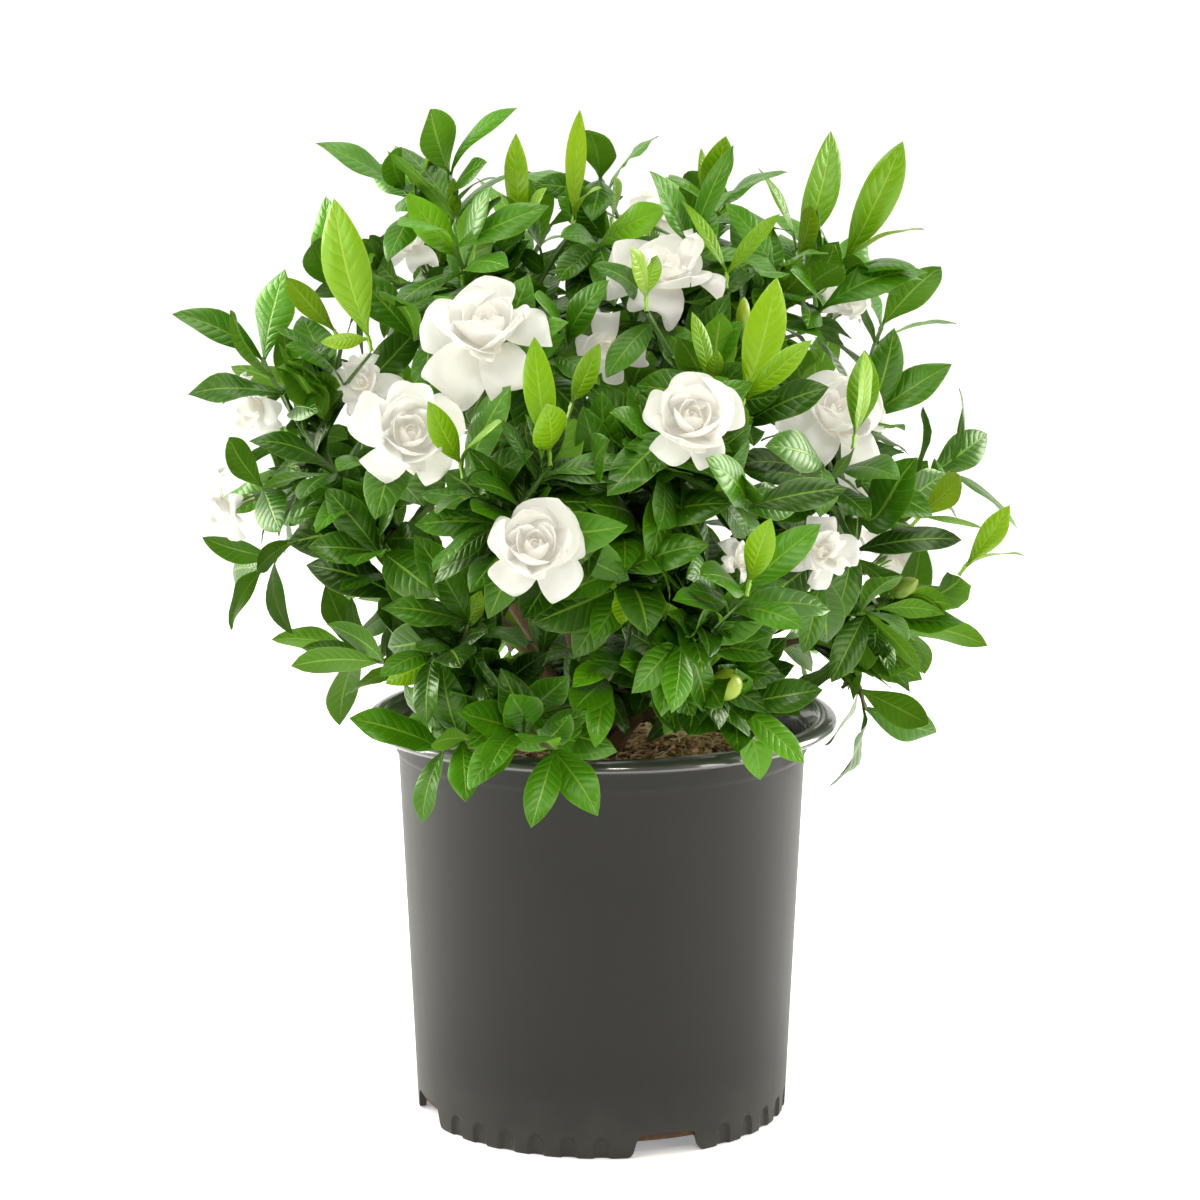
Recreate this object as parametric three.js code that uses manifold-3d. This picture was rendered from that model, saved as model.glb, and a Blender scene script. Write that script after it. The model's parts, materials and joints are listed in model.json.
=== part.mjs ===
// A gardenia in a black nursery pot: the pot, the potting mix, one woody trunk with its limbs,
// and on them leafy sprays, lime young shoots, double white blooms and green buds.
// Millimetres, +Z up, the origin on the ground at the middle of the pot, the front towards -Y.
import * as THREE from "three";
import { mergeVertices } from "three/addons/utils/BufferGeometryUtils.js";
import Module from "manifold-3d";

const wasm = await Module();
wasm.setup();

const vec = (x, y, z) => new THREE.Vector3(x, y, z);
const rad = THREE.MathUtils.degToRad;
const UP = vec(0, 0, 1);
const FRONT = vec(0, -1, 0);

// Driving dimensions
const GAP = 0.3; // between pieces that touch
const CLEARANCE = 0.35; // the air that a blade or stem of another piece is given
const SEED = 7129;
const POT = {
  height: 241.3,
  rimRadius: 139.7,
  shoulderRadius: 120.8,
  shoulderHeight: 219,
  baseRadius: 110.8,
  wall: 1.8,
  floorUnderside: 8,
  floorTop: 9.6,
  skirtInset: 2.2,
  sides: 36,
};
const NOTCH = { count: 4, first: 20, top: 34, flare: 5, height: 13.5, inner: 104, outer: 118 };
const FLUTE = { perSide: 6, pitch: 10, width: 9.6, height: 13, depth: 1.1, arch: 3 };
const MIX = { level: 206, mound: 8, relief: 2.4, rings: [0.72, 0.4] };
const TRUNK = { radius: 8.5, foot: 165, top: 234, taper: 12, sides: 8 };
const LIMB = { radius: 4.4, endRadius: 2.5, sides: 4, steps: 3, launch: 0.45, arrive: 0.35, splay: 0.8 };
const TIERS = [
  { name: "low", ends: 6, first: 30, radius: 104, height: 272, fork: 217, rise: 0.25 },
  { name: "middle", ends: 6, first: 0, radius: 122, height: 352, fork: 224, rise: 0.75 },
  { name: "high", ends: 4, first: 45, radius: 62, height: 430, fork: 230, rise: 2 },
];
const TIER_JITTER = { turn: 9, reach: 0.09, height: 14 };
const COLLAR = { radius: 2.7, length: 9, fork: 4.5, sides: 5 };
const SHOOT = {
  radius: 1.7,
  endRadius: 1.3,
  sides: 3,
  stepLength: 42,
  launch: 0.35,
  arrive: 0.3,
  leastTurn: 0.4,
};
const BLADE_RISE = 0.12; // the least slope at which a blade leaves the face that it grows from
const BLADE_MATCH = 1.5; // how well a face's corners must match the blade's, of 3 at the most
const SITE_TRIES = 3; // how many faces a blade is tried on, the best matched first
const NODE = { height: 2.4, spacing: 11 }; // where leaves grow on a stem, from its end back
const END_LEAD = 25; // how far ahead of a branch end its own shoots are looked for
const FORK = { shares: [0.75, 0.55, 0.35], turnCost: 0.6, tries: 6 };
const CALYX = { length: 8, radius: 3.6, sunk: 5.6, sides: 5 };
const LEAF = {
  shortest: 44,
  longest: 62,
  wide: 0.4,
  thick: 1.1,
  rootHalf: 0.95,
  bend: 36,
  fold: 0.05,
  wave: 0.03,
  stations: [0.34, 0.68],
};
const YOUNG = { ...LEAF, shortest: 22, bend: 20, fold: 0.1, stub: 9, stubRadius: 1.3, spacing: 4 };
const PAIR = { spread: 58, turn: 90 };
const FREE_STALK = 0.22; // the share of a leaf's stalk that may touch its neighbours
const BLOOM = {
  tube: 14,
  tubeRadius: 3,
  throatRadius: 4.2,
  core: 0.22,
  coreReach: 0.42,
  petalBands: [1, 2, 3],
};
const PETAL = {
  thick: 1.3,
  rootHalf: 2,
  fold: 0,
  wave: 0.03,
  stations: [0.45, 0.82],
  roll: 17,
  ways: 8,
  slimming: 0.09,
};
const FULL_LAYERS = [
  { count: 5, tilt: 80, reach: 1, wide: 0.66, bend: 34 },
  { count: 5, tilt: 38, reach: 0.76, wide: 0.6, bend: -62 },
];
const SIDE_LAYERS = [
  { count: 4, tilt: 76, reach: 1, wide: 0.62, bend: 40 },
  { count: 4, tilt: 34, reach: 0.78, wide: 0.62, bend: -60 },
];
const BUD = { sides: 6, stages: [[0, 0.5], [0.28, 0.93], [0.6, 1], [0.85, 0.6], [1, 0]] };
const DRIFT = 3.2; // how much further each new try moves a piece
const TRIES = 20;
const KEYS = { blooms: 100, backBlooms: 130, young: 200 }; // what sets the pieces' draws apart
const COLOURS = {
  pot: [0x403f3d, 0.45],
  potting_mix: [0x4a3526, 0.95],
  wood: [0x5d4634, 0.85],
  spray: [0x1f4d1c, 0.35],
  young_shoot: [0x86b81f, 0.4],
  bloom: [0xf3f1e6, 0.6],
  bud: [0xa9bd3c, 0.45],
};

// Where the crown's measures come from: a picture of 1200 by 1200 pixels taken from this place
const VIEW = { aside: -1, distance: 2100, height: 697, pitch: rad(10.5), focal: 3612, centre: 600 };

// The crown's half width at each height, and how much shallower it is than wide
const CROWN = {
  centre: vec(0, 0, 215),
  top: 600,
  depth: 0.88,
  least: 20,
  outline: [
    [200, 130],
    [215, 130],
    [240, 190],
    [300, 235],
    [350, 262],
    [400, 262],
    [450, 250],
    [500, 240],
    [550, 215],
    [590, 185],
    [620, 120],
  ],
};

// What shows in the picture, in its pixels: each shoot's end, its share of the way from the
// crown's middle (0) to its front (1), and the tips of the leaves that spread from that end.
// A third number beside a tip is the leaf's width over its length.
const LEAFY_ENDS = {
  topLeft: { at: [404, 190], share: 0.1, tips: [[316, 143], [394, 149], [387, 262]] },
  topCurl: { at: [449, 172], share: 0.2, tips: [[430, 109, 0.5], [517, 108, 0.25], [487, 162]] },
  upperLeft: { at: [455, 246], share: 0.45, tips: [[547, 199], [397, 225], [452, 190]] },
  leftCrest: { at: [338, 290], share: -0.1, tips: [[315, 240], [303, 223], [372, 262]] },
  farLeft: { at: [262, 358], share: 0.1, tips: [[172, 314], [285, 269, 0.5], [230, 310]] },
  farLeftLower: { at: [284, 394], share: 0.25, tips: [[197, 354], [334, 343], [318, 412]] },
  leftHeart: { at: [414, 340], share: 0.35, tips: [[380, 292], [423, 290], [366, 350]] },
  leftFlat: { at: [336, 472], share: 0.4, tips: [[249, 441], [300, 500], [352, 432]] },
  leftTwig: { at: [262, 488], share: 0.1, tips: [[229, 437], [193, 463, 0.5], [300, 470]] },
  leftGloss: { at: [382, 556], share: 0.55, tips: [[325, 487], [354, 566], [404, 506]] },
  leftWing: { at: [402, 600], share: 0.45, tips: [[306, 565], [333, 624], [340, 590]] },
  leftLow: { at: [470, 622], share: 0.65, tips: [[381, 608], [414, 535], [495, 575, 0.3]] },
  lowLime: { at: [432, 655], share: 0.75, tips: [[380, 677], [427, 725], [455, 667]] },
  rimLeft: { at: [442, 750], share: 0.95, tips: [[349, 718], [372, 769], [466, 802], [407, 706]] },
  rimMiddle: { at: [518, 734], share: 0.95, tips: [[468, 790], [498, 788], [484, 690]] },
  rimFront: { at: [556, 748], share: 1, tips: [[531, 828], [522, 742], [584, 770]] },
  overMix: { at: [606, 682], share: 0.8, tips: [[595, 748], [563, 731], [640, 712]] },
  heartLow: { at: [648, 676], share: 0.75, tips: [[588, 660], [620, 620], [668, 722]] },
  heartWide: { at: [660, 670], share: 0.6, tips: [[711, 603], [690, 700]] },
  heartRight: { at: [706, 662], share: 0.7, tips: [[745, 600], [660, 640], [748, 665]] },
  middleWide: { at: [622, 572], share: 0.8, tips: [[556, 600], [709, 545], [625, 620, 0.5]] },
  middleDark: { at: [640, 524], share: 0.7, tips: [[732, 504], [585, 505], [672, 580]] },
  middlePair: { at: [592, 490], share: 0.75, tips: [[692, 463], [604, 438], [570, 436]] },
  frontTrio: { at: [466, 476], share: 0.8, tips: [[500, 379], [418, 506], [534, 452]] },
  beforeBloom: { at: [655, 448], share: 0.65, tips: [[585, 381], [648, 400]] },
  rightPair: { at: [748, 508], share: 0.85, tips: [[706, 458], [848, 488]] },
  rightLight: { at: [742, 590], share: 0.9, tips: [[821, 524], [700, 575], [770, 632]] },
  rightDrop: { at: [820, 578], share: 0.6, tips: [[812, 631], [872, 560], [782, 600]] },
  rightLong: { at: [742, 428], share: 0.6, tips: [[829, 387], [770, 460], [760, 380]] },
  rightTwist: { at: [822, 464], share: 0.6, tips: [[758, 409], [800, 505]] },
  rightBlade: { at: [838, 470], share: 0.4, tips: [[943, 433], [900, 480], [870, 520]] },
  rightTop: { at: [868, 418], share: 0.25, tips: [[952, 364], [828, 352], [905, 430]] },
  farRightTop: { at: [846, 272], share: 0.05, tips: [[917, 269], [812, 240], [884, 305]] },
  farRightSide: { at: [822, 312], share: 0.15, tips: [[933, 292], [790, 270], [850, 345]] },
  crestRight: { at: [690, 246], share: 0.4, tips: [[625, 175], [667, 140, 0.22], [740, 235]] },
  crestMiddle: { at: [716, 214], share: 0.15, tips: [[787, 172], [668, 178]] },
  crestDark: { at: [774, 270], share: 0.3, tips: [[725, 203], [812, 256], [760, 320]] },
  upperMiddle: { at: [648, 305], share: 0.5, tips: [[592, 265], [710, 304], [640, 350]] },
  upperGreen: { at: [568, 345], share: 0.55, tips: [[609, 280], [530, 300], [600, 385]] },
  crestTop: { at: [600, 178], share: 0.1, tips: [[585, 127], [621, 172], [556, 165]] },
  crestShade: { at: [598, 246], share: 0.3, tips: [[668, 208], [560, 237], [612, 300]] },
  rightBig: { at: [858, 552], share: 0.4, tips: [[962, 540], [934, 455], [905, 600]] },
  lowTwig: { at: [858, 614], share: 0.35, tips: [[908, 641], [905, 575], [832, 672]] },
  byBud: { at: [738, 706], share: 0.75, tips: [[823, 690], [812, 752], [740, 752], [696, 716]] },
};
const YOUNG_SHOOTS = {
  left: { at: [368, 336], share: 0.45, tips: [[334, 198, 0.36], [338, 304, 0.5]] },
  leftSmall: { at: [334, 330], share: 0.3, tips: [[285, 277, 0.3]] },
  topLeft: { at: [522, 235], share: 0.25, tips: [[516, 133, 0.26], [547, 188, 0.3]] },
  topTall: { at: [574, 216], share: 0.3, tips: [[580, 109, 0.2], [602, 188, 0.2]] },
  beforeBloom: { at: [460, 462], share: 0.88, tips: [[428, 401, 0.28], [451, 391, 0.27]] },
  middleTall: { at: [549, 449], share: 0.9, tips: [[519, 340, 0.3], [560, 386, 0.5]] },
  middleSlim: { at: [572, 403], share: 0.75, tips: [[600, 343, 0.3]] },
  crestSmall: { at: [612, 217], share: 0.15, tips: [[614, 176, 0.5]] },
  crestPair: { at: [704, 197], share: 0.1, tips: [[701, 148, 0.25], [726, 136, 0.4]] },
  rightGloss: { at: [798, 250], share: 0.1, tips: [[831, 131, 0.34], [767, 163, 0.2], [812, 205, 0.3]] },
  farRightTop: { at: [846, 258], share: 0.1, tips: [[903, 141, 0.32], [903, 190, 0.36]] },
  rightTall: { at: [745, 397], share: 0.75, tips: [[777, 277, 0.36], [812, 340, 0.25]] },
  byUpperBloom: { at: [646, 295], share: 0.62, tips: [[630, 248, 0.36], [656, 245, 0.34]] },
  middleFolded: { at: [710, 381], share: 0.7, tips: [[692, 312, 0.3], [717, 350, 0.4]] },
  crestLong: { at: [727, 272], share: 0.45, tips: [[682, 201, 0.2], [780, 214, 0.24]] },
  rightLime: { at: [855, 433], share: 0.5, tips: [[865, 350, 0.4], [882, 329, 0.28]] },
  lowRight: { at: [750, 580], share: 0.95, tips: [[771, 518, 0.36]] },
  farRight: { at: [921, 515], share: 0.2, tips: [[960, 475, 0.3], [970, 507, 0.25]] },
  farRightLow: { at: [968, 563], share: 0.15, tips: [[1010, 505, 0.36], [1024, 555, 0.22]] },
};
// A bloom's radius is in millimetres, and it opens towards what it faces
const BLOOMS = {
  crown_left: { at: [487, 340], share: 0.8, radius: 38, faces: [-0.05, -0.85, 0.5] },
  front_left: { at: [408, 434], share: 0.9, radius: 33, faces: [0.2, -0.95, 0] },
  far_left_upper: { at: [262, 403], share: 0.1, radius: 24, faces: [-0.75, -0.5, -0.4], side: true },
  far_left_lower: { at: [232, 505], share: 0, radius: 23, faces: [-0.9, -0.35, -0.3], side: true },
  inner_left: { at: [366, 385], share: 0.3, radius: 21, faces: [-0.3, -0.85, 0.4], side: true },
  back_top_left: { at: [416, 252], share: -0.15, radius: 21, faces: [-0.4, -0.4, 0.8], side: true },
  upper: { at: [664, 284], share: 0.45, radius: 34, faces: [0.1, -0.45, 0.9], side: true },
  middle: { at: [614, 346], share: 0.4, radius: 24, faces: [-0.4, -0.85, -0.2], side: true },
  front_middle: { at: [690, 420], share: 0.95, radius: 29, faces: [0.1, -0.96, 0.1] },
  right: { at: [832, 422], share: 0.35, radius: 34, faces: [0.3, -0.85, 0.35] },
  right_lower: { at: [862, 482], share: 0.25, radius: 23, faces: [0.5, -0.8, -0.2], side: true },
  low_right: { at: [820, 552], share: 0.6, radius: 22, faces: [0.3, -0.9, 0.1], side: true },
  half_open: { at: [735, 566], share: 0.8, radius: 15, faces: [0.7, -0.5, 0.45], side: true },
  back_top_right: { at: [843, 303], share: -0.15, radius: 19, faces: [0.4, -0.5, 0.6], side: true },
  low_middle: { at: [535, 549], share: 0.98, radius: 30, faces: [0, -0.98, 0.12] },
};
// Blooms on the side that the picture doesn't show: their bearing from the front and elevation
const BACK_BLOOMS = {
  back_left: { bearing: 215, elevation: 38, radius: 31 },
  back_middle: { bearing: 170, elevation: 58, radius: 29 },
  back_right: { bearing: 125, elevation: 24, radius: 30 },
};
const BUDS = {
  round: { at: [727, 684], share: 0.85, radius: 8.4, stretch: 1, faces: [0.3, -0.8, 0.5] },
  oval_right: { at: [905, 587], share: 0.3, radius: 5.6, stretch: 1.6, faces: [0.8, -0.3, 0.5] },
  oval_low: { at: [767, 603], share: 0.75, radius: 5.8, stretch: 1.6, faces: [0.9, -0.4, 0.05] },
  slim: { at: [743, 318], share: 0.5, radius: 4.2, stretch: 3, faces: [0.05, -0.3, 1] },
};
// The shoots there, spread evenly over bearing and elevation; reach is a share of the crown's
const BACK = {
  shoots: 24,
  bearing: [92, 268],
  elevation: [8, 86],
  reach: 0.81,
  bloomReach: 0.88,
  golden: 0.618034,
};

// Small sums on points
const along = (point, direction, reach) => point.clone().addScaledVector(direction, reach);
const between = (a, b, share) => a.clone().lerp(b, share);
const mixOf = (...terms) => terms.reduce((sum, [v, k]) => sum.addScaledVector(v, k), vec(0, 0, 0));
const unit = (v) => v.clone().normalize();
const squareTo = (wish, axis) => unit(along(wish, axis, -wish.dot(axis)));

// A draw between 0 and 1 that depends only on its keys
function chance(...keys) {
  let hash = SEED;
  for (const key of keys) {
    hash = Math.imul(hash ^ key, 0x9e3779b1);
    hash ^= hash >>> 15;
    hash = Math.imul(hash, 0x85ebca77);
    hash ^= hash >>> 13;
  }
  return (hash >>> 0) / 2 ** 32;
}

const draw = (low, high, ...keys) => low + (high - low) * chance(...keys);

function anyDirection(...keys) {
  const level = draw(-1, 1, ...keys, 1);
  const turn = draw(0, 2 * Math.PI, ...keys, 2);
  const flat = Math.sqrt(1 - level * level);
  return vec(flat * Math.cos(turn), flat * Math.sin(turn), level);
}

// The point at depth y that the picture shows at a pixel
function seen([px, py], y) {
  const right = (px - VIEW.centre) / VIEW.focal;
  const rise = (VIEW.centre - py) / VIEW.focal;
  const [c, s] = [Math.cos(VIEW.pitch), Math.sin(VIEW.pitch)];
  const reach = (y + VIEW.distance) / (c + rise * s);
  return vec(VIEW.aside + right * reach, y, VIEW.height + reach * (rise * c - s));
}

function crownRadius(height) {
  const { outline } = CROWN;
  const next = outline.findIndex(([z]) => z >= height);
  if (next < 0) return outline.at(-1)[1];
  if (next === 0) return outline[0][1];
  const [[z0, r0], [z1, r1]] = [outline[next - 1], outline[next]];
  return r0 + ((r1 - r0) * (height - z0)) / (z1 - z0);
}

// The place that shows at a pixel, at a share of the way from the crown's middle to its front
function placed(pixel, share) {
  let place = seen(pixel, 0);
  for (let pass = 0; pass < 3; pass++) {
    const reach = crownRadius(place.z);
    const deep = Math.sqrt(Math.max(reach ** 2 - place.x ** 2, CROWN.least ** 2));
    place = seen(pixel, -share * CROWN.depth * deep);
  }
  return place;
}

const bearingOf = (degrees) => vec(Math.sin(rad(degrees)), -Math.cos(rad(degrees)), 0);

// A direction from the crown's centre, and the point where it leaves the crown
function crownPoint(bearing, elevation, share) {
  const level = bearingOf(bearing);
  const heading = mixOf([level, Math.cos(rad(elevation))], [UP, Math.sin(rad(elevation))]);
  let reach = 200;
  for (let pass = 0; pass < 12; pass++) {
    const point = along(CROWN.centre, heading, reach);
    const flat = Math.hypot(point.x, point.y);
    const inside = flat < crownRadius(point.z) && point.z < CROWN.top;
    reach += (inside ? 1 : -1) * 200 / 2 ** (pass + 1);
  }
  return { point: along(CROWN.centre, heading, reach * share), heading };
}

// Solids
function bodyOf(geometry) {
  geometry.deleteAttribute("normal");
  geometry.deleteAttribute("uv");
  const merged = mergeVertices(geometry, 1e-3);
  const source = merged.index.array;
  const corners = [];
  for (let i = 0; i < source.length; i += 3) {
    const [a, b, c] = [source[i], source[i + 1], source[i + 2]];
    if (a !== b && b !== c && c !== a) corners.push(a, b, c);
  }
  const vertProperties = new Float32Array(merged.attributes.position.array);
  const triVerts = new Uint32Array(corners);
  return new wasm.Manifold(new wasm.Mesh({ numProp: 3, vertProperties, triVerts }));
}

// A closed skin over rings that are drawn anticlockwise about the way they go. The diagonals
// alternate, so that the two faces of a thin blade are split alike. A ring of one point ends it.
function bandFaces(lower, upper) {
  const faces = [];
  lower.forEach((a, k) => {
    const b = lower[(k + 1) % lower.length];
    const [c, d] = [upper[(k + 1) % upper.length], upper[k % upper.length]];
    if (upper.length === 1) faces.push([a, b, c]);
    else if (k % 2 === 0) faces.push([a, b, c], [a, c, d]);
    else faces.push([a, b, d], [b, c, d]);
  });
  return faces;
}

function capFaces(ring) {
  return ring.slice(2).map((_, k) => [ring[0], ring[k + 1], ring[k + 2]]);
}

// A skin as points and faces, and the faces of each of its bands
function netOf(rings) {
  let count = 0;
  const numbered = rings.map((ring) => ring.map(() => count++));
  const bands = numbered.slice(1).map((ring, i) => bandFaces(numbered[i], ring));
  const foot = capFaces(numbered[0]).map(([a, b, c]) => [a, c, b]);
  const end = capFaces(numbered.at(-1));
  return { points: rings.flat(), bands: [...bands, end, foot] };
}

function solidOf(net) {
  const geometry = new THREE.BufferGeometry().setFromPoints(net.points);
  return bodyOf(geometry.setIndex(net.bands.flat(2)));
}

const skinOf = (rings) => solidOf(netOf(rings));

// The free face, among some bands of a net, from which a blade stands out most squarely and
// with the least twist
function siteFor(net, blade, bands) {
  const faces = bands.flatMap((band) => net.bands[band].map((face) => ({ band, face })));
  const sites = faces.flatMap((from) => [0, 1, 2].map((shift) => siteOn(net, blade, from, shift)));
  const open = sites.filter(({ rise, match }) => rise > BLADE_RISE && match > BLADE_MATCH);
  open.sort((a, b) => b.rise + b.match / 3 - a.rise - a.match / 3);
  return open.slice(0, SITE_TRIES).find((site) => !crosses(net, blade, site)) ?? null;
}

// A face as a blade's root, with its corners shifted round: how steeply the blade leaves it,
// and how well its corners match those of the blade's first ring
function siteOn(net, [first], { band, face }, shift) {
  const root = [0, 1, 2].map((i) => face[(i + shift) % 3]);
  const points = root.map((i) => net.points[i]);
  const [p, q, r] = points;
  const normal = unit(along(q, p, -1).cross(along(r, p, -1)));
  const rise = Math.min(...points.map((point, i) => normal.dot(unit(along(first[i], point, -1)))));
  const spokes = spokesOf(first);
  const match = spokesOf(points).reduce((sum, spoke, i) => sum + spoke.dot(spokes[i]), 0);
  return { band, face, root, rise, match };
}

// The directions from a ring's middle to its points
function spokesOf(ring) {
  const middle = ring.reduce((sum, point) => sum.add(point), vec(0, 0, 0)).divideScalar(ring.length);
  return ring.map((point) => unit(along(point, middle, -1)));
}

// Whether a blade drawn from a face would cut into the rest of its net, or into itself
function crosses(net, blade, site) {
  const points = [...net.points, ...blade.flat()];
  const fresh = drawnFaces(net.points.length, blade, site);
  const old = net.bands.flat().filter((face) => face !== site.face);
  const before = (i) => [...old, ...fresh.slice(0, i)];
  return fresh.some((face, i) => before(i).some((other) => facesCross(points, face, other)));
}

// The faces of a blade that is drawn out of its site, its own points numbered from first
function drawnFaces(first, blade, site) {
  let count = first;
  const numbered = [site.root, ...blade.map((ring) => ring.map(() => count++))];
  return numbered.slice(1).flatMap((ring, i) => bandFaces(numbered[i], ring));
}

// Whether two faces that share no edge cut through each other
function facesCross(points, one, other) {
  if (one.filter((i) => other.includes(i)).length > 1) return false;
  const boxes = [one, other].map((face) => boxOf(face.map((i) => points[i])));
  return boxes[0].intersectsBox(boxes[1]) && (edgeCuts(points, one, other) || edgeCuts(points, other, one));
}

// Whether an edge of one face goes through the other
function edgeCuts(points, edges, face) {
  const corners = face.map((i) => points[i]);
  return edges.some((start, k) => {
    const end = edges[(k + 1) % 3];
    if (face.includes(start) || face.includes(end)) return false;
    const ray = new THREE.Ray(points[start], unit(along(points[end], points[start], -1)));
    const hit = ray.intersectTriangle(...corners, false, vec(0, 0, 0));
    return hit !== null && hit.distanceTo(points[start]) < points[end].distanceTo(points[start]);
  });
}

// Whether no two faces of a net cross
function isSimple({ points, bands }) {
  const faces = bands.flat();
  return !faces.some((face, i) => faces.slice(0, i).some((other) => facesCross(points, face, other)));
}

// Draws a blade out of a face of a net, so that the two are one skin
function grow(net, blade, site) {
  const faces = drawnFaces(net.points.length, blade, site);
  net.points.push(...blade.flat());
  net.bands[site.band] = net.bands[site.band].filter((face) => face !== site.face);
  net.bands.push(faces);
}

// A leaf or petal from its root to its tip: its upper face looks towards the wish, and it bends
// away from it. Its sections are flat on the upper face, waved at the edges, with a midrib below.
function bladeRings(blade, swell = 0) {
  const { root, tip, shape, wide, bend, wave } = blade;
  const chord = along(tip, root, -1);
  const span = chord.length();
  const heading = unit(chord);
  const face = squareTo(blade.wish, heading);
  const half = rad(bend) / 2;
  const start = mixOf([heading, Math.cos(half)], [face, Math.sin(half)]);
  const startFace = mixOf([face, Math.cos(half)], [heading, -Math.sin(half)]);
  const side = heading.clone().cross(face);
  const radius = span / 2 / Math.sin(half);
  const ringAt = (share, halfWidth, lift) => {
    const angle = 2 * half * share;
    const middle = mixOf(
      [root, 1],
      [start, radius * Math.sin(angle)],
      [startFace, -radius * (1 - Math.cos(angle))],
    );
    const normal = mixOf([startFace, Math.cos(angle)], [start, Math.sin(angle)]);
    const edge = shape.fold * halfWidth;
    return [
      mixOf([middle, 1], [side, -halfWidth - swell], [normal, edge + lift + swell]),
      mixOf([middle, 1], [side, halfWidth + swell], [normal, edge - lift + swell]),
      mixOf([middle, 1], [normal, -shape.thick - swell]),
    ];
  };
  const rings = [ringAt(0, shape.rootHalf, 0)];
  shape.stations.forEach((share, i) => {
    const halfWidth = (wide * blade.profile(share)) / 2;
    rings.push(ringAt(share, halfWidth, (i % 2 ? -1 : 1) * wave * wide));
  });
  rings.push([along(tip, heading, swell)]);
  return rings;
}

const leafProfile = (share) => Math.sin(Math.PI * share ** 1.12) ** 1.1;
const petalProfile = (share) => Math.sin(Math.PI * share ** 1.55) ** 0.7;

// The same blade without its stalk, which is sunk in its own stem
function withoutStalk(rings) {
  const first = rings[0].map((point, k) => between(point, rings[1][k], FREE_STALK));
  return [first, ...rings.slice(1)];
}

// A stem along a line of joints, cut off square to the way that it arrives. Each ring is turned
// as the one before it, so that the stem isn't twisted.
function tubeRings(joints, radii, sides, arrive, swell = 0) {
  const steps = joints.length - 1;
  const chord = unit(along(joints[steps], joints[0], -1));
  let [a] = frameOn(chord);
  return joints.map((joint, step) => {
    const before = joints[Math.max(step - 1, 0)];
    const after = joints[Math.min(step + 1, steps)];
    const ahead = step === steps ? arrive : unit(along(after, before, -1));
    a = squareTo(a, ahead);
    const radius = radii[0] + ((radii[1] - radii[0]) * step) / steps + swell;
    return circle(joint, a, ahead.clone().cross(a), radius, sides);
  });
}

function lengthOf(joints) {
  return joints.slice(1).reduce((sum, joint, i) => sum + joint.distanceTo(joints[i]), 0);
}

// The net of a stem, with a short band round each node that leaves grow from
function stemNet(joints, radii, nodes, spacing, arrive) {
  const rings = tubeRings(joints, radii, SHOOT.sides, arrive);
  const bounds = nodes.map((node) => [node * spacing + NODE.height, node * spacing]);
  const free = joints
    .map((_, i) => lengthOf(joints.slice(i)))
    .filter((d) => bounds.every(([far, near]) => d > far + 1 || d < near - 1));
  const stops = [...new Set([...free, ...bounds.flat(), 0])].sort((a, b) => b - a);
  const net = netOf(stops.map((distance) => ringBack(joints, rings, distance)));
  const bandAt = (node) => stops.indexOf(node * spacing + NODE.height);
  return { net, bandsOf: (node) => (node ? [bandAt(node)] : [bandAt(0), stops.length - 1]) };
}

// A stem's ring at a distance back from its end
function ringBack(joints, rings, distance) {
  let left = distance;
  for (let i = joints.length - 1; i > 0; i--) {
    const span = joints[i].distanceTo(joints[i - 1]);
    if (left <= span || i === 1) {
      return rings[i].map((point, k) => between(point, rings[i - 1][k], Math.min(left / span, 1)));
    }
    left -= span;
  }
}

// The place and heading at a distance back from a stem's end
function backFrom(joints, distance) {
  let left = distance;
  for (let i = joints.length - 1; i > 0; i--) {
    const span = joints[i].distanceTo(joints[i - 1]);
    const heading = unit(along(joints[i], joints[i - 1], -1));
    if (left <= span || i === 1) {
      return { place: along(joints[i], heading, -Math.min(left, span)), heading };
    }
    left -= span;
  }
}

// Two directions square to an axis and to each other
function frameOn(axis) {
  const a = squareTo(Math.abs(axis.z) < 0.8 ? UP : FRONT, axis);
  return [a, axis.clone().cross(a)];
}

function circle(centre, a, b, radius, sides) {
  return Array.from({ length: sides }, (_, k) => {
    const turn = (2 * Math.PI * k) / sides;
    return mixOf([centre, 1], [a, radius * Math.cos(turn)], [b, radius * Math.sin(turn)]);
  });
}

// A turned piece on an axis, from pairs of reach and radius, with a point at its end if closed
function turned(base, axis, stages, sides, swell = 0) {
  const [a, b] = frameOn(axis);
  return stages.map(([reach, radius]) => {
    const centre = along(base, axis, reach);
    return radius ? circle(centre, a, b, radius + swell, sides) : [along(centre, axis, swell)];
  });
}

function boxOf(rings) {
  return new THREE.Box3().setFromPoints(rings.flat());
}

// Everything that stands so far, piece by piece, so that what comes later is bent clear of it
const standing = [];

function stand(owner, rings) {
  const solid = skinOf(rings);
  standing.push({ owner, solid, box: boxOf(rings) });
  return solid;
}

function isClear(rings, ignores = () => false) {
  const box = boxOf(rings);
  const meets = (item) => !item.box || item.box.intersectsBox(box);
  const near = standing.filter((item) => !ignores(item) && meets(item));
  if (near.length === 0) return true;
  const solid = skinOf(rings);
  const clear = near.every((item) => {
    const shared = solid.intersect(item.solid);
    const empty = shared.isEmpty();
    shared.delete();
    return empty;
  });
  solid.delete();
  return clear;
}

// Tries a piece in one way after another, and keeps the first way that is clear
function settle(makeWay, owner) {
  for (let way = 0; way < TRIES; way++) {
    const { rings, tests, fits } = makeWay(way);
    if (fits && !fits()) continue;
    if (tests.every(([testRings, ignores]) => isClear(testRings, ignores))) {
      stand(owner, rings);
      return { way, rings };
    }
  }
  return null;
}

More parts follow.
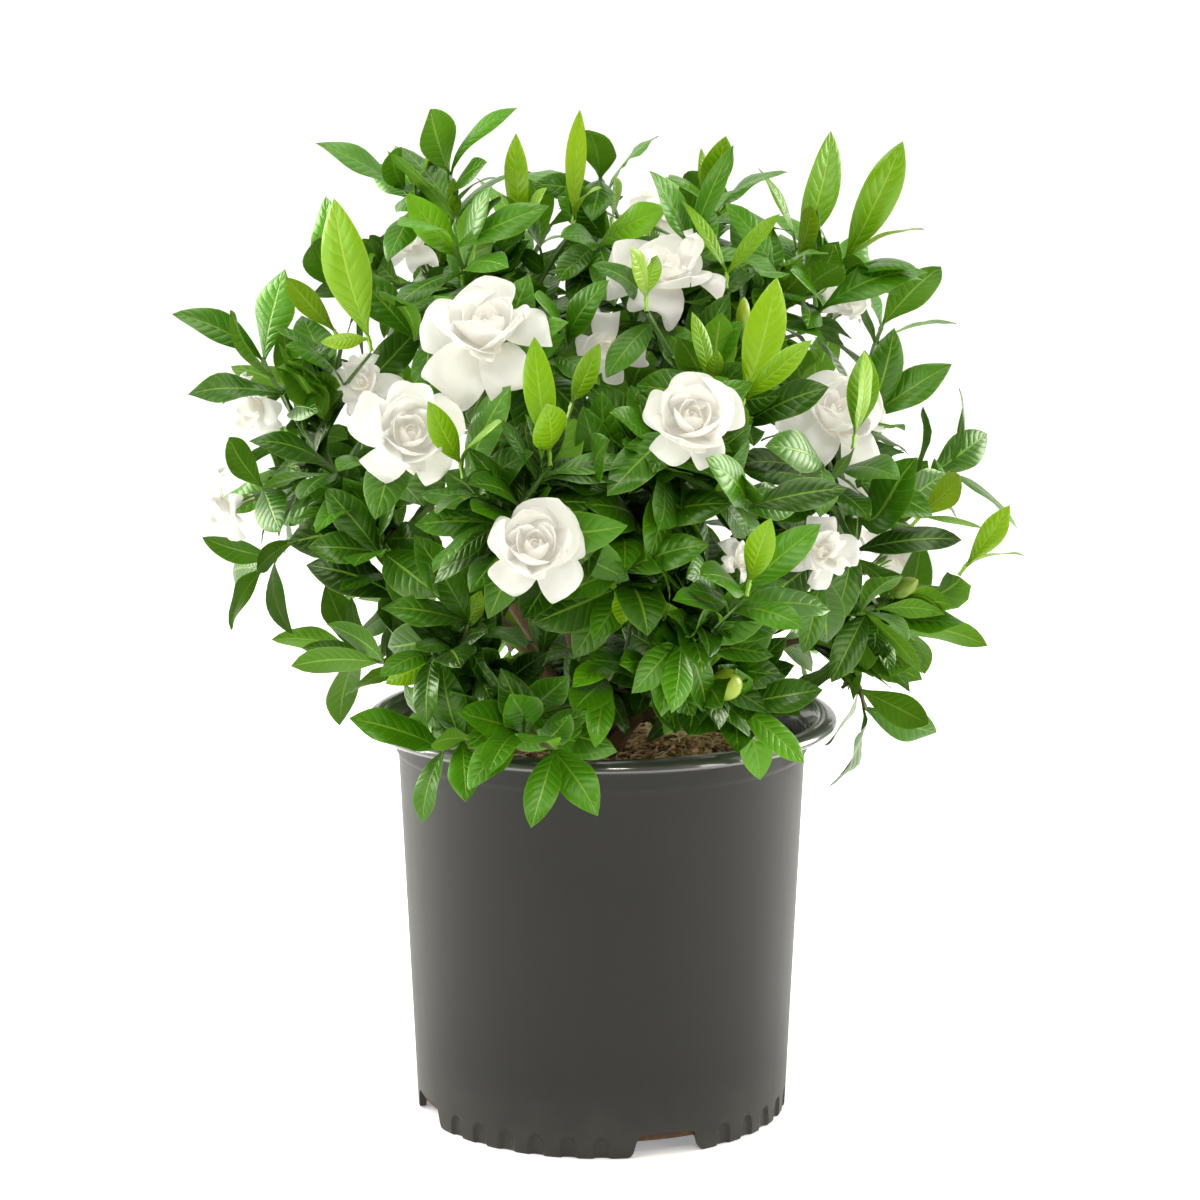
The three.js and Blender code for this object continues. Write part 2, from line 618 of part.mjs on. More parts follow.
// The pot
function lathed(profile) {
  const points = profile.map(([r, z]) => new THREE.Vector2(r, z));
  return bodyOf(new THREE.LatheGeometry(points, POT.sides).rotateX(Math.PI / 2));
}

// The pot's outer radius on its straight wall
function wallRadius(height) {
  return POT.baseRadius + ((POT.shoulderRadius - POT.baseRadius) * height) / POT.shoulderHeight;
}

function potProfile() {
  const { rimRadius, height, wall, shoulderRadius, shoulderHeight } = POT;
  const inside = wallRadius(POT.floorTop) - wall;
  return [
    [0, POT.floorUnderside],
    [wallRadius(POT.floorUnderside) - POT.skirtInset, POT.floorUnderside],
    [wallRadius(0) - POT.skirtInset - 1, 0],
    [wallRadius(0) - 1, 0],
    [wallRadius(1.4), 1.4],
    [shoulderRadius, shoulderHeight],
    [shoulderRadius + 1.3, shoulderHeight + 1.6],
    [shoulderRadius + 1.9, height - 10],
    [rimRadius - 4, height - 8],
    [rimRadius, height - 5],
    [rimRadius - 1.6, height - 1.8],
    [rimRadius - 6, height],
    [rimRadius - 10, height - 0.6],
    [shoulderRadius, height - 11],
    [shoulderRadius - wall, shoulderHeight - 0.6],
    [inside, POT.floorTop],
    [0, POT.floorTop],
  ];
}

// A flat outline on the ground line, pushed through the wall at a bearing
function radialCutter(outline, inner, outer, bearing) {
  const shape = new THREE.Shape(outline);
  const geometry = new THREE.ExtrudeGeometry(shape, { depth: outer - inner, bevelEnabled: false });
  geometry.rotateX(Math.PI / 2);
  geometry.translate(0, -inner, 0);
  geometry.rotateZ(rad(bearing));
  return bodyOf(geometry);
}

function notchOutline() {
  const half = NOTCH.top / 2;
  const low = half + NOTCH.flare;
  return [
    new THREE.Vector2(-low, -1),
    new THREE.Vector2(low, -1),
    new THREE.Vector2(low, 0),
    new THREE.Vector2(half, NOTCH.height),
    new THREE.Vector2(-half, NOTCH.height),
    new THREE.Vector2(-low, 0),
  ];
}

function fluteOutline() {
  const half = FLUTE.width / 2;
  const points = [new THREE.Vector2(-half, -1), new THREE.Vector2(half, -1)];
  for (let step = 0; step <= FLUTE.arch; step++) {
    const turn = (Math.PI * step) / FLUTE.arch;
    const rise = FLUTE.height - half * (1 - Math.sin(turn));
    points.push(new THREE.Vector2(half * Math.cos(turn), rise));
  }
  return points;
}

function pot() {
  let body = lathed(potProfile());
  const quarter = 360 / NOTCH.count;
  for (let side = 0; side < NOTCH.count; side++) {
    const notch = NOTCH.first + side * quarter;
    body = body.subtract(radialCutter(notchOutline(), NOTCH.inner, NOTCH.outer, notch));
    for (let k = 0; k < FLUTE.perSide; k++) {
      const bearing = notch + quarter / 2 + (k - (FLUTE.perSide - 1) / 2) * FLUTE.pitch;
      const inner = wallRadius(0) - FLUTE.depth;
      body = body.subtract(radialCutter(fluteOutline(), inner, NOTCH.outer, bearing));
    }
  }
  return body;
}

// The potting mix fills the pot, in facets that follow the pot's, round a hole for the trunk
function pottingMix() {
  const low = POT.floorTop + GAP;
  const radiusAt = (height) => wallRadius(height) - POT.wall - GAP;
  const rings = [low, MIX.level].map((height) => ringOfMix(radiusAt(height), () => height));
  MIX.rings.forEach((share, i) => {
    const rise = MIX.level + MIX.mound * (1 - share ** 2);
    const heightAt = (k) => rise + draw(-MIX.relief, MIX.relief, 40, i, k);
    rings.push(ringOfMix(radiusAt(MIX.level) * share, heightAt));
  });
  rings.push([vec(0, 0, MIX.level + MIX.mound)]);
  const hole = [0, TRUNK.top - TRUNK.foot].map((reach) => [reach, TRUNK.radius + GAP]);
  return skinOf(rings).subtract(skinOf(turned(vec(0, 0, TRUNK.foot), UP, hole, TRUNK.sides)));
}

function ringOfMix(radius, heightAt) {
  const sides = POT.sides;
  return Array.from({ length: sides }, (_, k) => {
    const turn = (2 * Math.PI * k) / sides;
    return vec(radius * Math.cos(turn), radius * Math.sin(turn), heightAt(k));
  });
}

// The places where the wood ends and green shoots begin
function branchEnds() {
  return TIERS.flatMap((tier, t) =>
    Array.from({ length: tier.ends }, (_, k) => {
      const turn = tier.first + (360 * k) / tier.ends + draw(-1, 1, 50, t, k) * TIER_JITTER.turn;
      const reach = tier.radius * (1 + draw(-1, 1, 51, t, k) * TIER_JITTER.reach);
      const height = tier.height + draw(-1, 1, 52, t, k) * TIER_JITTER.height;
      const level = bearingOf(turn);
      const place = mixOf([level, reach], [UP, height]);
      const heading = unit(mixOf([level, 1], [UP, tier.rise]));
      return { name: `${tier.name}_${k + 1}`, place, heading, fork: vec(0, 0, tier.fork) };
    }),
  );
}

function limbCurve({ place, heading, fork }) {
  const span = place.distanceTo(fork);
  const lean = unit(mixOf([unit(vec(place.x, place.y, 0)), LIMB.splay], [UP, 1]));
  const launch = along(fork, lean, span * LIMB.launch);
  return new THREE.CubicBezierCurve3(fork, launch, along(place, heading, -span * LIMB.arrive), place);
}

// The trunk, and the limbs that fan out of its top
function wood(ends) {
  const reach = TRUNK.top - TRUNK.foot;
  const { radius, taper } = TRUNK;
  const stages = [[GAP, radius], [reach - taper, radius], [reach, radius * 0.7]];
  let body = skinOf(turned(vec(0, 0, TRUNK.foot), UP, stages, TRUNK.sides));
  for (const end of ends) {
    const radii = [LIMB.radius, LIMB.endRadius];
    const rings = tubeRings(limbCurve(end).getPoints(LIMB.steps), radii, LIMB.sides, end.heading);
    body = body.add(stand("wood", rings));
  }
  return body;
}

// A bloom: petals in layers round a core, on the tube that it grew from
function petalsOf({ centre, faces, radius, side, key }, way = 0) {
  const [a, b] = frameOn(faces);
  const layers = side ? SIDE_LAYERS : FULL_LAYERS;
  const slimmer = 1 - PETAL.slimming * way;
  return layers.flatMap((layer, l) =>
    Array.from({ length: layer.count }, (_, k) => {
      const turn = (2 * Math.PI * (k + l / 2 + draw(-0.1, 0.1, key, l, k, 1))) / layer.count;
      const out = mixOf([a, Math.cos(turn)], [b, Math.sin(turn)]);
      const tilt = rad(layer.tilt + draw(-8, 8, key, l, k, 2));
      const span = radius * layer.reach * draw(0.9, 1.08, key, l, k, 3);
      return {
        root: centre,
        tip: mixOf([centre, 1], [faces, span * Math.cos(tilt)], [out, span * Math.sin(tilt)]),
        wish: rolled(mixOf([faces, Math.sin(tilt)], [out, -Math.cos(tilt)]), faces.clone().cross(out)),
        wide: span * layer.wide * slimmer * draw(0.92, 1.1, key, l, k, 4),
        bend: layer.bend * draw(0.8, 1.2, key, l, k, 5) * slimmer,
        wave: PETAL.wave,
        shape: PETAL,
        profile: petalProfile,
      };
    }),
  );
}

// A petal's face turned a little aside, so that each petal lies over the next round the bloom
function rolled(wish, sideways) {
  const roll = rad(PETAL.roll);
  return mixOf([wish, Math.cos(roll)], [sideways, Math.sin(roll)]);
}

function coreRings({ centre, faces, radius, side }, swell = 0) {
  const stages = [
    [-BLOOM.tube, BLOOM.tubeRadius],
    [-2, BLOOM.throatRadius],
    [2, radius * BLOOM.core],
    [radius * 0.2, radius * BLOOM.core * 0.8],
    [radius * BLOOM.coreReach, 0],
  ];
  return turned(centre, faces, stages, (side ? SIDE_LAYERS : FULL_LAYERS)[0].count, swell);
}

// The bloom's net: each petal grows from a face of the core, slimmer where it would cross others
function bloomNet(bloom) {
  const net = netOf(coreRings(bloom));
  const ways = Array.from({ length: PETAL.ways }, (_, way) => petalsOf(bloom, way));
  ways[0].forEach((_, i) => {
    for (const petals of ways) {
      const blade = bladeRings(petals[i]).slice(1);
      const site = siteFor(net, blade, BLOOM.petalBands);
      if (site) return grow(net, blade, site);
    }
  });
  return net;
}

function bloomRings(spec, swell = 0) {
  return [coreRings(spec, swell), ...petalsOf(spec).map((petal) => bladeRings(petal, swell))];
}

function settleBloom(name, spec, key) {
  const owner = `bloom_${name}`;
  for (let way = 0; way < TRIES; way++) {
    const centre = along(spec.place, anyDirection(key, way, 9), DRIFT * way);
    const faces = unit(spec.faces);
    const bloom = { centre, faces, radius: spec.radius, side: spec.side, key };
    if (!bloomRings(bloom, CLEARANCE).every((rings) => isClear(rings))) continue;
    bloomRings(bloom).forEach((rings) => stand(owner, rings));
    const seat = along(centre, faces, -BLOOM.tube - GAP);
    return { owner, body: solidOf(bloomNet(bloom)), seat, faces };
  }
  throw new Error(`no room for ${owner}`);
}

// The direction from a shoot's end to the middle of its leaf tips
function towardTips(place, tips, share) {
  const middle = tips.reduce((sum, tip) => sum.add(placed(tip, share)), vec(0, 0, 0));
  return unit(along(middle.divideScalar(tips.length), place, -1));
}

// A leaf's tip: where its pixel shows it, nearer the front or the back to give the leaf its length
function leafTip(root, pixel, share, least) {
  const level = seen(pixel, root.y);
  const shown = level.distanceTo(root);
  const nearer = Math.sqrt(Math.max(least ** 2 - shown ** 2, 0));
  return seen(pixel, root.y - Math.sign(share + 0.3) * nearer);
}

// Which way a leaf's upper face looks
function faceWish(place) {
  const outward = unit(vec(place.x, place.y, 0));
  return mixOf([outward, 0.45], [FRONT, 0.5], [UP, 0.75]);
}

// One way for a leaf to go: way 0 is the aimed one, later ways swing the tip aside
function leafWay(leaf, way) {
  const { root, tip, shape, key } = leaf;
  const swung = along(tip, anyDirection(key, way, 3), DRIFT * way);
  const heading = unit(along(swung, root, -1));
  const swungTip = along(root, heading, tip.distanceTo(root));
  return { ...leaf, tip: swungTip, wave: shape.wave, profile: leafProfile };
}

// Grows a leaf out of its stem's net, clear of everything, or leaves it out for want of room
function settleLeaf(leaf, owner, { net, bandsOf }) {
  const siteOfRings = (rings) => siteFor(net, rings.slice(1), bandsOf(leaf.node));
  const makeWay = (way) => {
    const blade = leafWay(leaf, way);
    const wider = bladeRings(blade, CLEARANCE);
    const rings = bladeRings(blade);
    const tests = [
      [wider, (item) => item.owner === owner],
      [withoutStalk(wider), (item) => item.owner !== owner],
    ];
    return { rings, tests, fits: () => siteOfRings(rings) };
  };
  const settled = settle(makeWay, owner);
  if (settled) grow(net, settled.rings.slice(1), siteOfRings(settled.rings));
}

// A leaf whose tip the picture shows
function aimedLeaf(root, [px, py, slim], share, shape, key) {
  const least = draw(shape.shortest, shape.longest, key, 4);
  const tip = leafTip(root, [px, py], share, least);
  const span = tip.distanceTo(root);
  const wide = span * (slim ?? shape.wide) * draw(0.92, 1.1, key, 5);
  const wish = along(faceWish(root), anyDirection(key, 6), 0.22);
  return { root, tip, wish, wide, bend: shape.bend * draw(0.5, 1.5, key, 7), shape, key };
}

// A young shoot: its leaves stand on a short stub of their own
function settleYoung(name, { at, share, tips }, key) {
  const owner = `young_shoot_${name}`;
  const place = placed(at, share);
  const heading = unit(mixOf([towardTips(place, tips, share), 1], [UP, 0.6]));
  const joints = [along(place, heading, -YOUNG.stub), place];
  const radii = [YOUNG.stubRadius, YOUNG.stubRadius];
  const nodes = tips.length > 2 ? [0, 1] : [0];
  const plant = stemNet(joints, radii, nodes, YOUNG.spacing, heading);
  stand(owner, tubeRings(joints, radii, SHOOT.sides, heading));
  tips.forEach((tip, i) => {
    const node = nodeOfTip(i);
    const root = along(place, heading, -node * YOUNG.spacing - NODE.height / 2);
    const leaf = { ...aimedLeaf(root, tip, share, YOUNG, key * 8 + i), node };
    settleLeaf(leaf, owner, plant);
  });
  const seat = along(place, heading, -YOUNG.stub - GAP);
  return { owner, body: solidOf(plant.net), seat, faces: heading };
}

function settleBud(name, spec) {
  const owner = `bud_${name}`;
  const { radius, stretch } = spec;
  const faces = unit(vec(...spec.faces));
  const place = placed(spec.at, spec.share);
  const long = 2 * radius * stretch;
  const stages = BUD.stages.map(([share, wide]) => [share * long, wide * radius]);
  const base = along(place, faces, -long / 2);
  const rings = (swell) => turned(base, faces, stages, BUD.sides, swell);
  if (!isClear(rings(CLEARANCE))) throw new Error(`no room for ${owner}`);
  return { owner, body: stand(owner, rings(0)), seat: along(base, faces, -GAP), faces };
}

// A shoot's stem, from where it forks off to its seat or its end leaves
function stemJoints({ from, heading, to, arrive }, way, key) {
  const span = from.distanceTo(to);
  const swing = DRIFT * 2 * way;
  const launch = mixOf([from, 1], [heading, span * SHOOT.launch], [anyDirection(key, way, 11), swing]);
  const arrival = mixOf([to, 1], [arrive, -span * SHOOT.arrive], [anyDirection(key, way, 12), swing / 2]);
  const steps = Math.max(2, Math.ceil(span / SHOOT.stepLength));
  return new THREE.CubicBezierCurve3(from, launch, arrival, to).getPoints(steps);
}

// The way that a stem's end faces: towards its seat, or as its last stretch runs
function endHeading(joints, seat) {
  return seat ?? unit(along(joints.at(-1), joints.at(-2), -1));
}

function bendsGently(joints) {
  const ways = joints.slice(1).map((joint, i) => unit(along(joint, joints[i], -1)));
  return ways.slice(1).every((way, i) => way.dot(ways[i]) > SHOOT.leastTurn);
}

function settleStem(stem, owner, key) {
  const radii = [SHOOT.radius, SHOOT.endRadius];
  const makeWay = (way) => {
    const joints = stemJoints(stem, way, key);
    const end = endHeading(joints, stem.seat);
    const rings = tubeRings(joints, radii, SHOOT.sides, end);
    const wider = tubeRings(joints, radii, SHOOT.sides, end, CLEARANCE);
    const fits = () => bendsGently(joints) && isSimple(netOf(rings));
    return { rings, fits, tests: [[wider, (item) => item.owner === owner]] };
  };
  const settled = settle(makeWay, owner);
  return settled ? stemJoints(stem, settled.way, key) : null;
}

// Which branch ends a shoot may grow from: the nearest two, and rather ones that point its way
function nearestEnds(ends, place) {
  const cost = (end) => place.distanceTo(along(end.place, end.heading, END_LEAD));
  return [...ends].sort((a, b) => cost(a) - cost(b)).slice(0, 2);
}

// Where a new stem may fork off, the best place first: the collar, or along stems that already
// stand there
function forksFor(place, end, stems) {
  const collar = { place: along(end.place, end.heading, COLLAR.fork), heading: end.heading };
  const places = stems.flatMap((joints) =>
    FORK.shares.map((share) => backFrom(joints, lengthOf(joints) * share)),
  );
  const cost = (fork) => {
    const way = along(place, fork.place, -1);
    return way.length() * (1 + FORK.turnCost * (1 - unit(way).dot(fork.heading)));
  };
  return [collar, ...places].sort((a, b) => cost(a) - cost(b)).slice(0, FORK.tries);
}

// The first stem to the shoot that fits, from either of its two branch ends
function firstStem(shoot, to, branches, nodes, key) {
  for (const branch of branches) {
    const owner = `spray_${branch.name}`;
    const standingStems = nodes.get(branch).map((item) => item.joints);
    for (const { place, heading } of forksFor(to, branch, standingStems)) {
      const joints = settleStem({ ...shoot, from: place, heading, to }, owner, key);
      if (joints) return { joints, branch, owner };
    }
  }
  return null;
}

// Rows of leaves in opposite pairs down a stem from its end, each pair square to the last
function pairLeaves(joints, pairs, key) {
  return pairs.flatMap((p) => {
    const { place, heading } = backFrom(joints, p * NODE.spacing + NODE.height / 2);
    return [0, 1].map((s) => ({ ...pairLeaf(place, heading, p, s, key), node: p }));
  });
}

function pairLeaf(root, axis, p, s, key) {
  const [a, b] = frameOn(axis);
  const turn = rad(PAIR.turn * p + 180 * s + draw(0, 90, key, 20) + draw(-12, 12, key, p, s, 21));
  const out = mixOf([a, Math.cos(turn)], [b, Math.sin(turn)]);
  const spread = rad(PAIR.spread + draw(-12, 12, key, p, s, 22));
  const span = draw(LEAF.shortest, LEAF.longest, key, p, s, 23);
  const tip = mixOf([root, 1], [axis, span * Math.cos(spread)], [out, span * Math.sin(spread)]);
  const outward = unit(vec(root.x, root.y, 0));
  const wish = mixOf([axis, Math.sin(spread)], [UP, 0.5], [outward, 0.3]);
  const bend = LEAF.bend * draw(0.5, 1.5, key, p, s, 24);
  const wide = span * LEAF.wide * draw(0.92, 1.1, key, p, s, 25);
  return { root, tip, wish, wide, bend, shape: LEAF, key: (key * 8 + p) * 2 + s };
}

function backShoots() {
  const [first, last] = BACK.bearing;
  const [low, high] = BACK.elevation.map((degrees) => Math.sin(rad(degrees)));
  return Array.from({ length: BACK.shoots }, (_, k) => {
    const bearing = first + (last - first) * ((k * BACK.golden) % 1);
    const level = Math.asin(low + ((high - low) * (k + 0.5)) / BACK.shoots);
    const { point, heading } = crownPoint(bearing, THREE.MathUtils.radToDeg(level), BACK.reach);
    return { place: point, arrive: unit(mixOf([heading, 1], [UP, 0.25])), pairs: [0, 1] };
  });
}

// The shoots that end under a piece: a bloom's ends in a calyx and has a pair of leaves
function seatsOf(pieces, calyx) {
  return pieces.map(({ seat, faces }) => {
    const end = calyx ? { calyx, pairs: [1] } : { seat: faces, pairs: [] };
    return { place: seat, arrive: faces, ...end };
  });
}

function leafyShoots() {
  return Object.values(LEAFY_ENDS).map(({ at, share, tips }) => {
    const place = placed(at, share);
    const onward = towardTips(place, tips, share);
    const arrive = unit(mixOf([onward, 0.6], [faceWish(place), 0.5], [UP, 0.3]));
    return { place, arrive, share, tips, pairs: [] };
  });
}

function collarRings({ place, heading }) {
  const { length, radius } = COLLAR;
  const stages = [[GAP, LIMB.endRadius], [length * 0.6, radius], [length, radius * 0.7]];
  return turned(place, heading, stages, COLLAR.sides);
}

function calyxRings({ place, arrive }) {
  const stages = [[-CALYX.length, SHOOT.endRadius], [0, CALYX.radius]];
  return turned(place, arrive, stages, CALYX.sides);
}

// The green part of the plant: from each branch end a spray of stems with their leaves. The
// stems that reach furthest are given room first, and then the leaves are.
function sprays(ends, shoots) {
  const nodes = new Map(ends.map((end) => [end, []]));
  for (const end of ends) stand(`spray_${end.name}`, collarRings(end));
  const order = shoots.map((shoot, i) => {
    const branches = nearestEnds(ends, shoot.place);
    return { shoot, key: i + 1, branches, lead: shoot.place.distanceTo(branches[0].place) };
  });
  order.sort((a, b) => b.lead - a.lead);
  const grown = order.map((item) => growStem(item, nodes));
  for (const item of grown) {
    for (const leaf of shootLeaves(item)) settleLeaf(leaf, item.owner, item.plant);
  }
  return ends.map((end) => [`spray_${end.name}`, sprayBody(end, nodes.get(end))]);
}

function growStem({ shoot, key, branches }, nodes) {
  const sunk = shoot.calyx ? CALYX.sunk : 0;
  const stem = firstStem(shoot, along(shoot.place, shoot.arrive, -sunk), branches, nodes, key);
  if (!stem) throw new Error(`no room for the stem of shoot ${key}`);
  const { branch, owner, joints } = stem;
  if (shoot.calyx) stand(owner, calyxRings(shoot));
  const leafNodes = new Set([...(shoot.tips ?? []).map((_, i) => nodeOfTip(i)), ...shoot.pairs]);
  const radii = [SHOOT.radius, SHOOT.endRadius];
  const end = endHeading(joints, shoot.seat);
  const plant = stemNet(joints, radii, [...leafNodes], NODE.spacing, end);
  const item = { shoot, key, owner, joints, plant };
  nodes.get(branch).push(item);
  return item;
}

// A collar on the branch end, with everything that grows from it in one body
function sprayBody(end, stems) {
  const calyxes = stems.filter(({ shoot }) => shoot.calyx).map(({ shoot }) => skinOf(calyxRings(shoot)));
  const solids = [...stems.map(({ plant }) => solidOf(plant.net)), ...calyxes];
  return solids.reduce((body, solid) => body.add(solid), skinOf(collarRings(end)));
}

// Leaves stand in twos: the first two at a shoot's end, the next two a node further back
const nodeOfTip = (i) => Math.floor(i / 2);

function shootLeaves({ shoot, joints, key }) {
  const aims = (shoot.tips ?? []).map((tip, i) => {
    const node = nodeOfTip(i);
    const { place } = backFrom(joints, node * NODE.spacing + NODE.height / 2);
    return { ...aimedLeaf(place, tip, shoot.share, LEAF, key * 64 + i), node };
  });
  return [...aims, ...pairLeaves(joints, shoot.pairs, key)];
}

// The whole plant in its pot
function materialOf(kind) {
  const [color, roughness] = COLOURS[kind];
  return new THREE.MeshStandardMaterial({ color, roughness, metalness: 0 });
}

function meshOf(name, body, kind) {
  const shape = body.getMesh();
  const geometry = new THREE.BufferGeometry();
  geometry.setAttribute("position", new THREE.BufferAttribute(shape.vertProperties, 3));
  geometry.setIndex(new THREE.BufferAttribute(shape.triVerts, 1));
  const mesh = new THREE.Mesh(geometry, materialOf(kind));
  mesh.name = name;
  return mesh;
}

const snake = (name) => name.replace(/[A-Z]/g, (letter) => `_${letter.toLowerCase()}`);

function blooms() {
  const front = Object.entries(BLOOMS).map(([name, spec], i) => {
    const place = placed(spec.at, spec.share);
    return settleBloom(name, { ...spec, place, faces: vec(...spec.faces) }, KEYS.blooms + i);
  });
  const back = Object.entries(BACK_BLOOMS).map(([name, spec], i) => {
    const { point, heading } = crownPoint(spec.bearing, spec.elevation, BACK.bloomReach);
    return settleBloom(name, { ...spec, place: point, faces: heading }, KEYS.backBlooms + i);
  });
  return [...front, ...back];
}

function youngShoots() {
  return Object.entries(YOUNG_SHOOTS).map(([name, spec], i) => {
    return settleYoung(snake(name), spec, KEYS.young + i);
  });
}

function build() {
  const group = new THREE.Group();
  const keep = (name, body, kind) => group.add(meshOf(name, body, kind));
  for (const [name, body] of [["pot", pot()], ["potting_mix", pottingMix()]]) {
    standing.push({ owner: name, solid: body, box: null });
    keep(name, body, name);
  }
  const ends = branchEnds();
  keep("trunk_and_limbs", wood(ends), "wood");

  const flowers = blooms();
  const young = youngShoots();
  const buds = Object.entries(BUDS).map(([name, spec]) => settleBud(name, spec));
  flowers.forEach(({ owner, body }) => keep(owner, body, "bloom"));
  young.forEach(({ owner, body }) => keep(owner, body, "young_shoot"));
  buds.forEach(({ owner, body }) => keep(owner, body, "bud"));

  const seats = [...seatsOf(flowers, true), ...seatsOf([...young, ...buds], false)];
  const shoots = [...seats, ...leafyShoots(), ...backShoots()];
  for (const [name, body] of sprays(ends, shoots)) keep(name, body, "spray");
  return group;
}

export default build();
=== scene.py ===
# %% [markdown]
# # A gardenia in a nursery pot
#
# This lesson dresses a CAD model of a potted gardenia in Blender. The CAD solids give the place
# and size of the pot, the wood, every bloom and bud, and about a sixth of the leaves. Here each
# solid is read back and replaced by a finer piece of the same form, and the crown is filled.

import json
import math
from itertools import combinations

import bpy
import numpy as np
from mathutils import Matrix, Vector
from mathutils.bvhtree import BVHTree

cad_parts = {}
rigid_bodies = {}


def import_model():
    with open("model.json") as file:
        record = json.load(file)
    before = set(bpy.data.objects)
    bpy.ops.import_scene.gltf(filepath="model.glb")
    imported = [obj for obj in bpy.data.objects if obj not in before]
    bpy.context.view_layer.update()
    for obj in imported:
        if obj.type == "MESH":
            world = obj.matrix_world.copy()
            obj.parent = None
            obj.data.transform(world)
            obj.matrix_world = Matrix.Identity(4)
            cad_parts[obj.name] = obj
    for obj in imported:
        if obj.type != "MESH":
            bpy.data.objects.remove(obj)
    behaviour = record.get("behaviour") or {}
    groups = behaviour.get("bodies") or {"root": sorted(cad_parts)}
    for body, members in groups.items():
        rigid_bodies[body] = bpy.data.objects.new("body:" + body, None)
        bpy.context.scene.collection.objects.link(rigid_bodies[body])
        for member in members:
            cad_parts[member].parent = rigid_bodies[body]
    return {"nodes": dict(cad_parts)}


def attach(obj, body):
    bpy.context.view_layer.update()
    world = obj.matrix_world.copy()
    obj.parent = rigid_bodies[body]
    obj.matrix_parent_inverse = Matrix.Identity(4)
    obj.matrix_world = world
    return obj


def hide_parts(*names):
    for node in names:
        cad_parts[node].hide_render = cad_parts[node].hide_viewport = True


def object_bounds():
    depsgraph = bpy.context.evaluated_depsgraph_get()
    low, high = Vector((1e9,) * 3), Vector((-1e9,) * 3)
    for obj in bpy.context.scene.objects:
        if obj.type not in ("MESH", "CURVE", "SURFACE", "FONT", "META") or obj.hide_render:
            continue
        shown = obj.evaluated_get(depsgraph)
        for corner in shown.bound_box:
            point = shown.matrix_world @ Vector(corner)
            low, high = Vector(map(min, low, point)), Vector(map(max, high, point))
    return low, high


for thing in list(bpy.data.objects):
    bpy.data.objects.remove(thing)
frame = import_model()
nodes = frame["nodes"]
cad_box = [list(corner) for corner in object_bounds()]
MM = 0.001
print(len(nodes), "solids in a box", cad_box)

# %% [markdown]
# ## Sums on arrays of points
#
# A crown has hundreds of leaves, so the sums run on whole arrays at once: the last axis holds
# x, y and z, and every function works for one point or for thousands.

# %% Small vector helpers
UP = np.array([0.0, 0.0, 1.0])


def length(v):
    return np.linalg.norm(v, axis=-1, keepdims=True)


def unit(v):
    return v / np.maximum(length(v), 1e-12)


def dot(a, b):
    return (a * b).sum(-1, keepdims=True)


def square_to(wish, axis):
    """The part of a wish that stands square to an axis, made one long."""
    return unit(wish - axis * dot(wish, axis))


def two_sides(axis):
    """Two directions square to each axis and to each other."""
    steady = np.where(np.abs(axis[..., 2:]) < 0.8, UP, np.array([0.0, -1.0, 0.0]))
    first = square_to(steady, axis)
    return first, np.cross(axis, first)


def around(axis, turn, flat=1.0):
    """The directions square to an axis at one or more turns round it."""
    first, second = two_sides(axis)
    turn = np.asarray(turn)[..., None]
    return np.cos(turn) * first + np.sin(turn) * second * flat


def even_turns(count):
    return np.arange(count) * 2 * np.pi / count


def circles(radius, height, turns):
    """Points round the upright, one ring for each radius."""
    return np.stack(np.broadcast_arrays(radius * np.cos(turns), radius * np.sin(turns), height), -1)


print("square to up:", square_to(np.array([1.0, 0.0, 1.0]), UP))

# %% [markdown]
# ## Shader maths in Python
#
# Blender's materials are graphs of nodes. A small class wraps a socket so that sums on it read
# like sums: `1 - mask` adds a Math node. A second class holds one material and adds any other
# node in one call.

# %% A socket that takes part in sums
class Wire:
    """A shader value. Sums on it add Math nodes to its material."""

    def __init__(self, paint, socket):
        self.paint = paint
        self.socket = socket

    def math(self, operation, *values):
        return self.paint.node("ShaderNodeMath", {"operation": operation}, values)

    def __add__(self, other):
        return self.math("ADD", self, other)

    def __sub__(self, other):
        return self.math("SUBTRACT", self, other)

    def __rsub__(self, other):
        return self.math("SUBTRACT", other, self)

    def __mul__(self, other):
        return self.math("MULTIPLY", self, other)

    def __pow__(self, other):
        return self.math("POWER", self, other)

    def __abs__(self):
        return self.math("ABSOLUTE", self)

    def sine(self):
        return self.math("SINE", self)

    __radd__ = __add__
    __rmul__ = __mul__


# %% A material that builds itself
MARKS = "leaf"


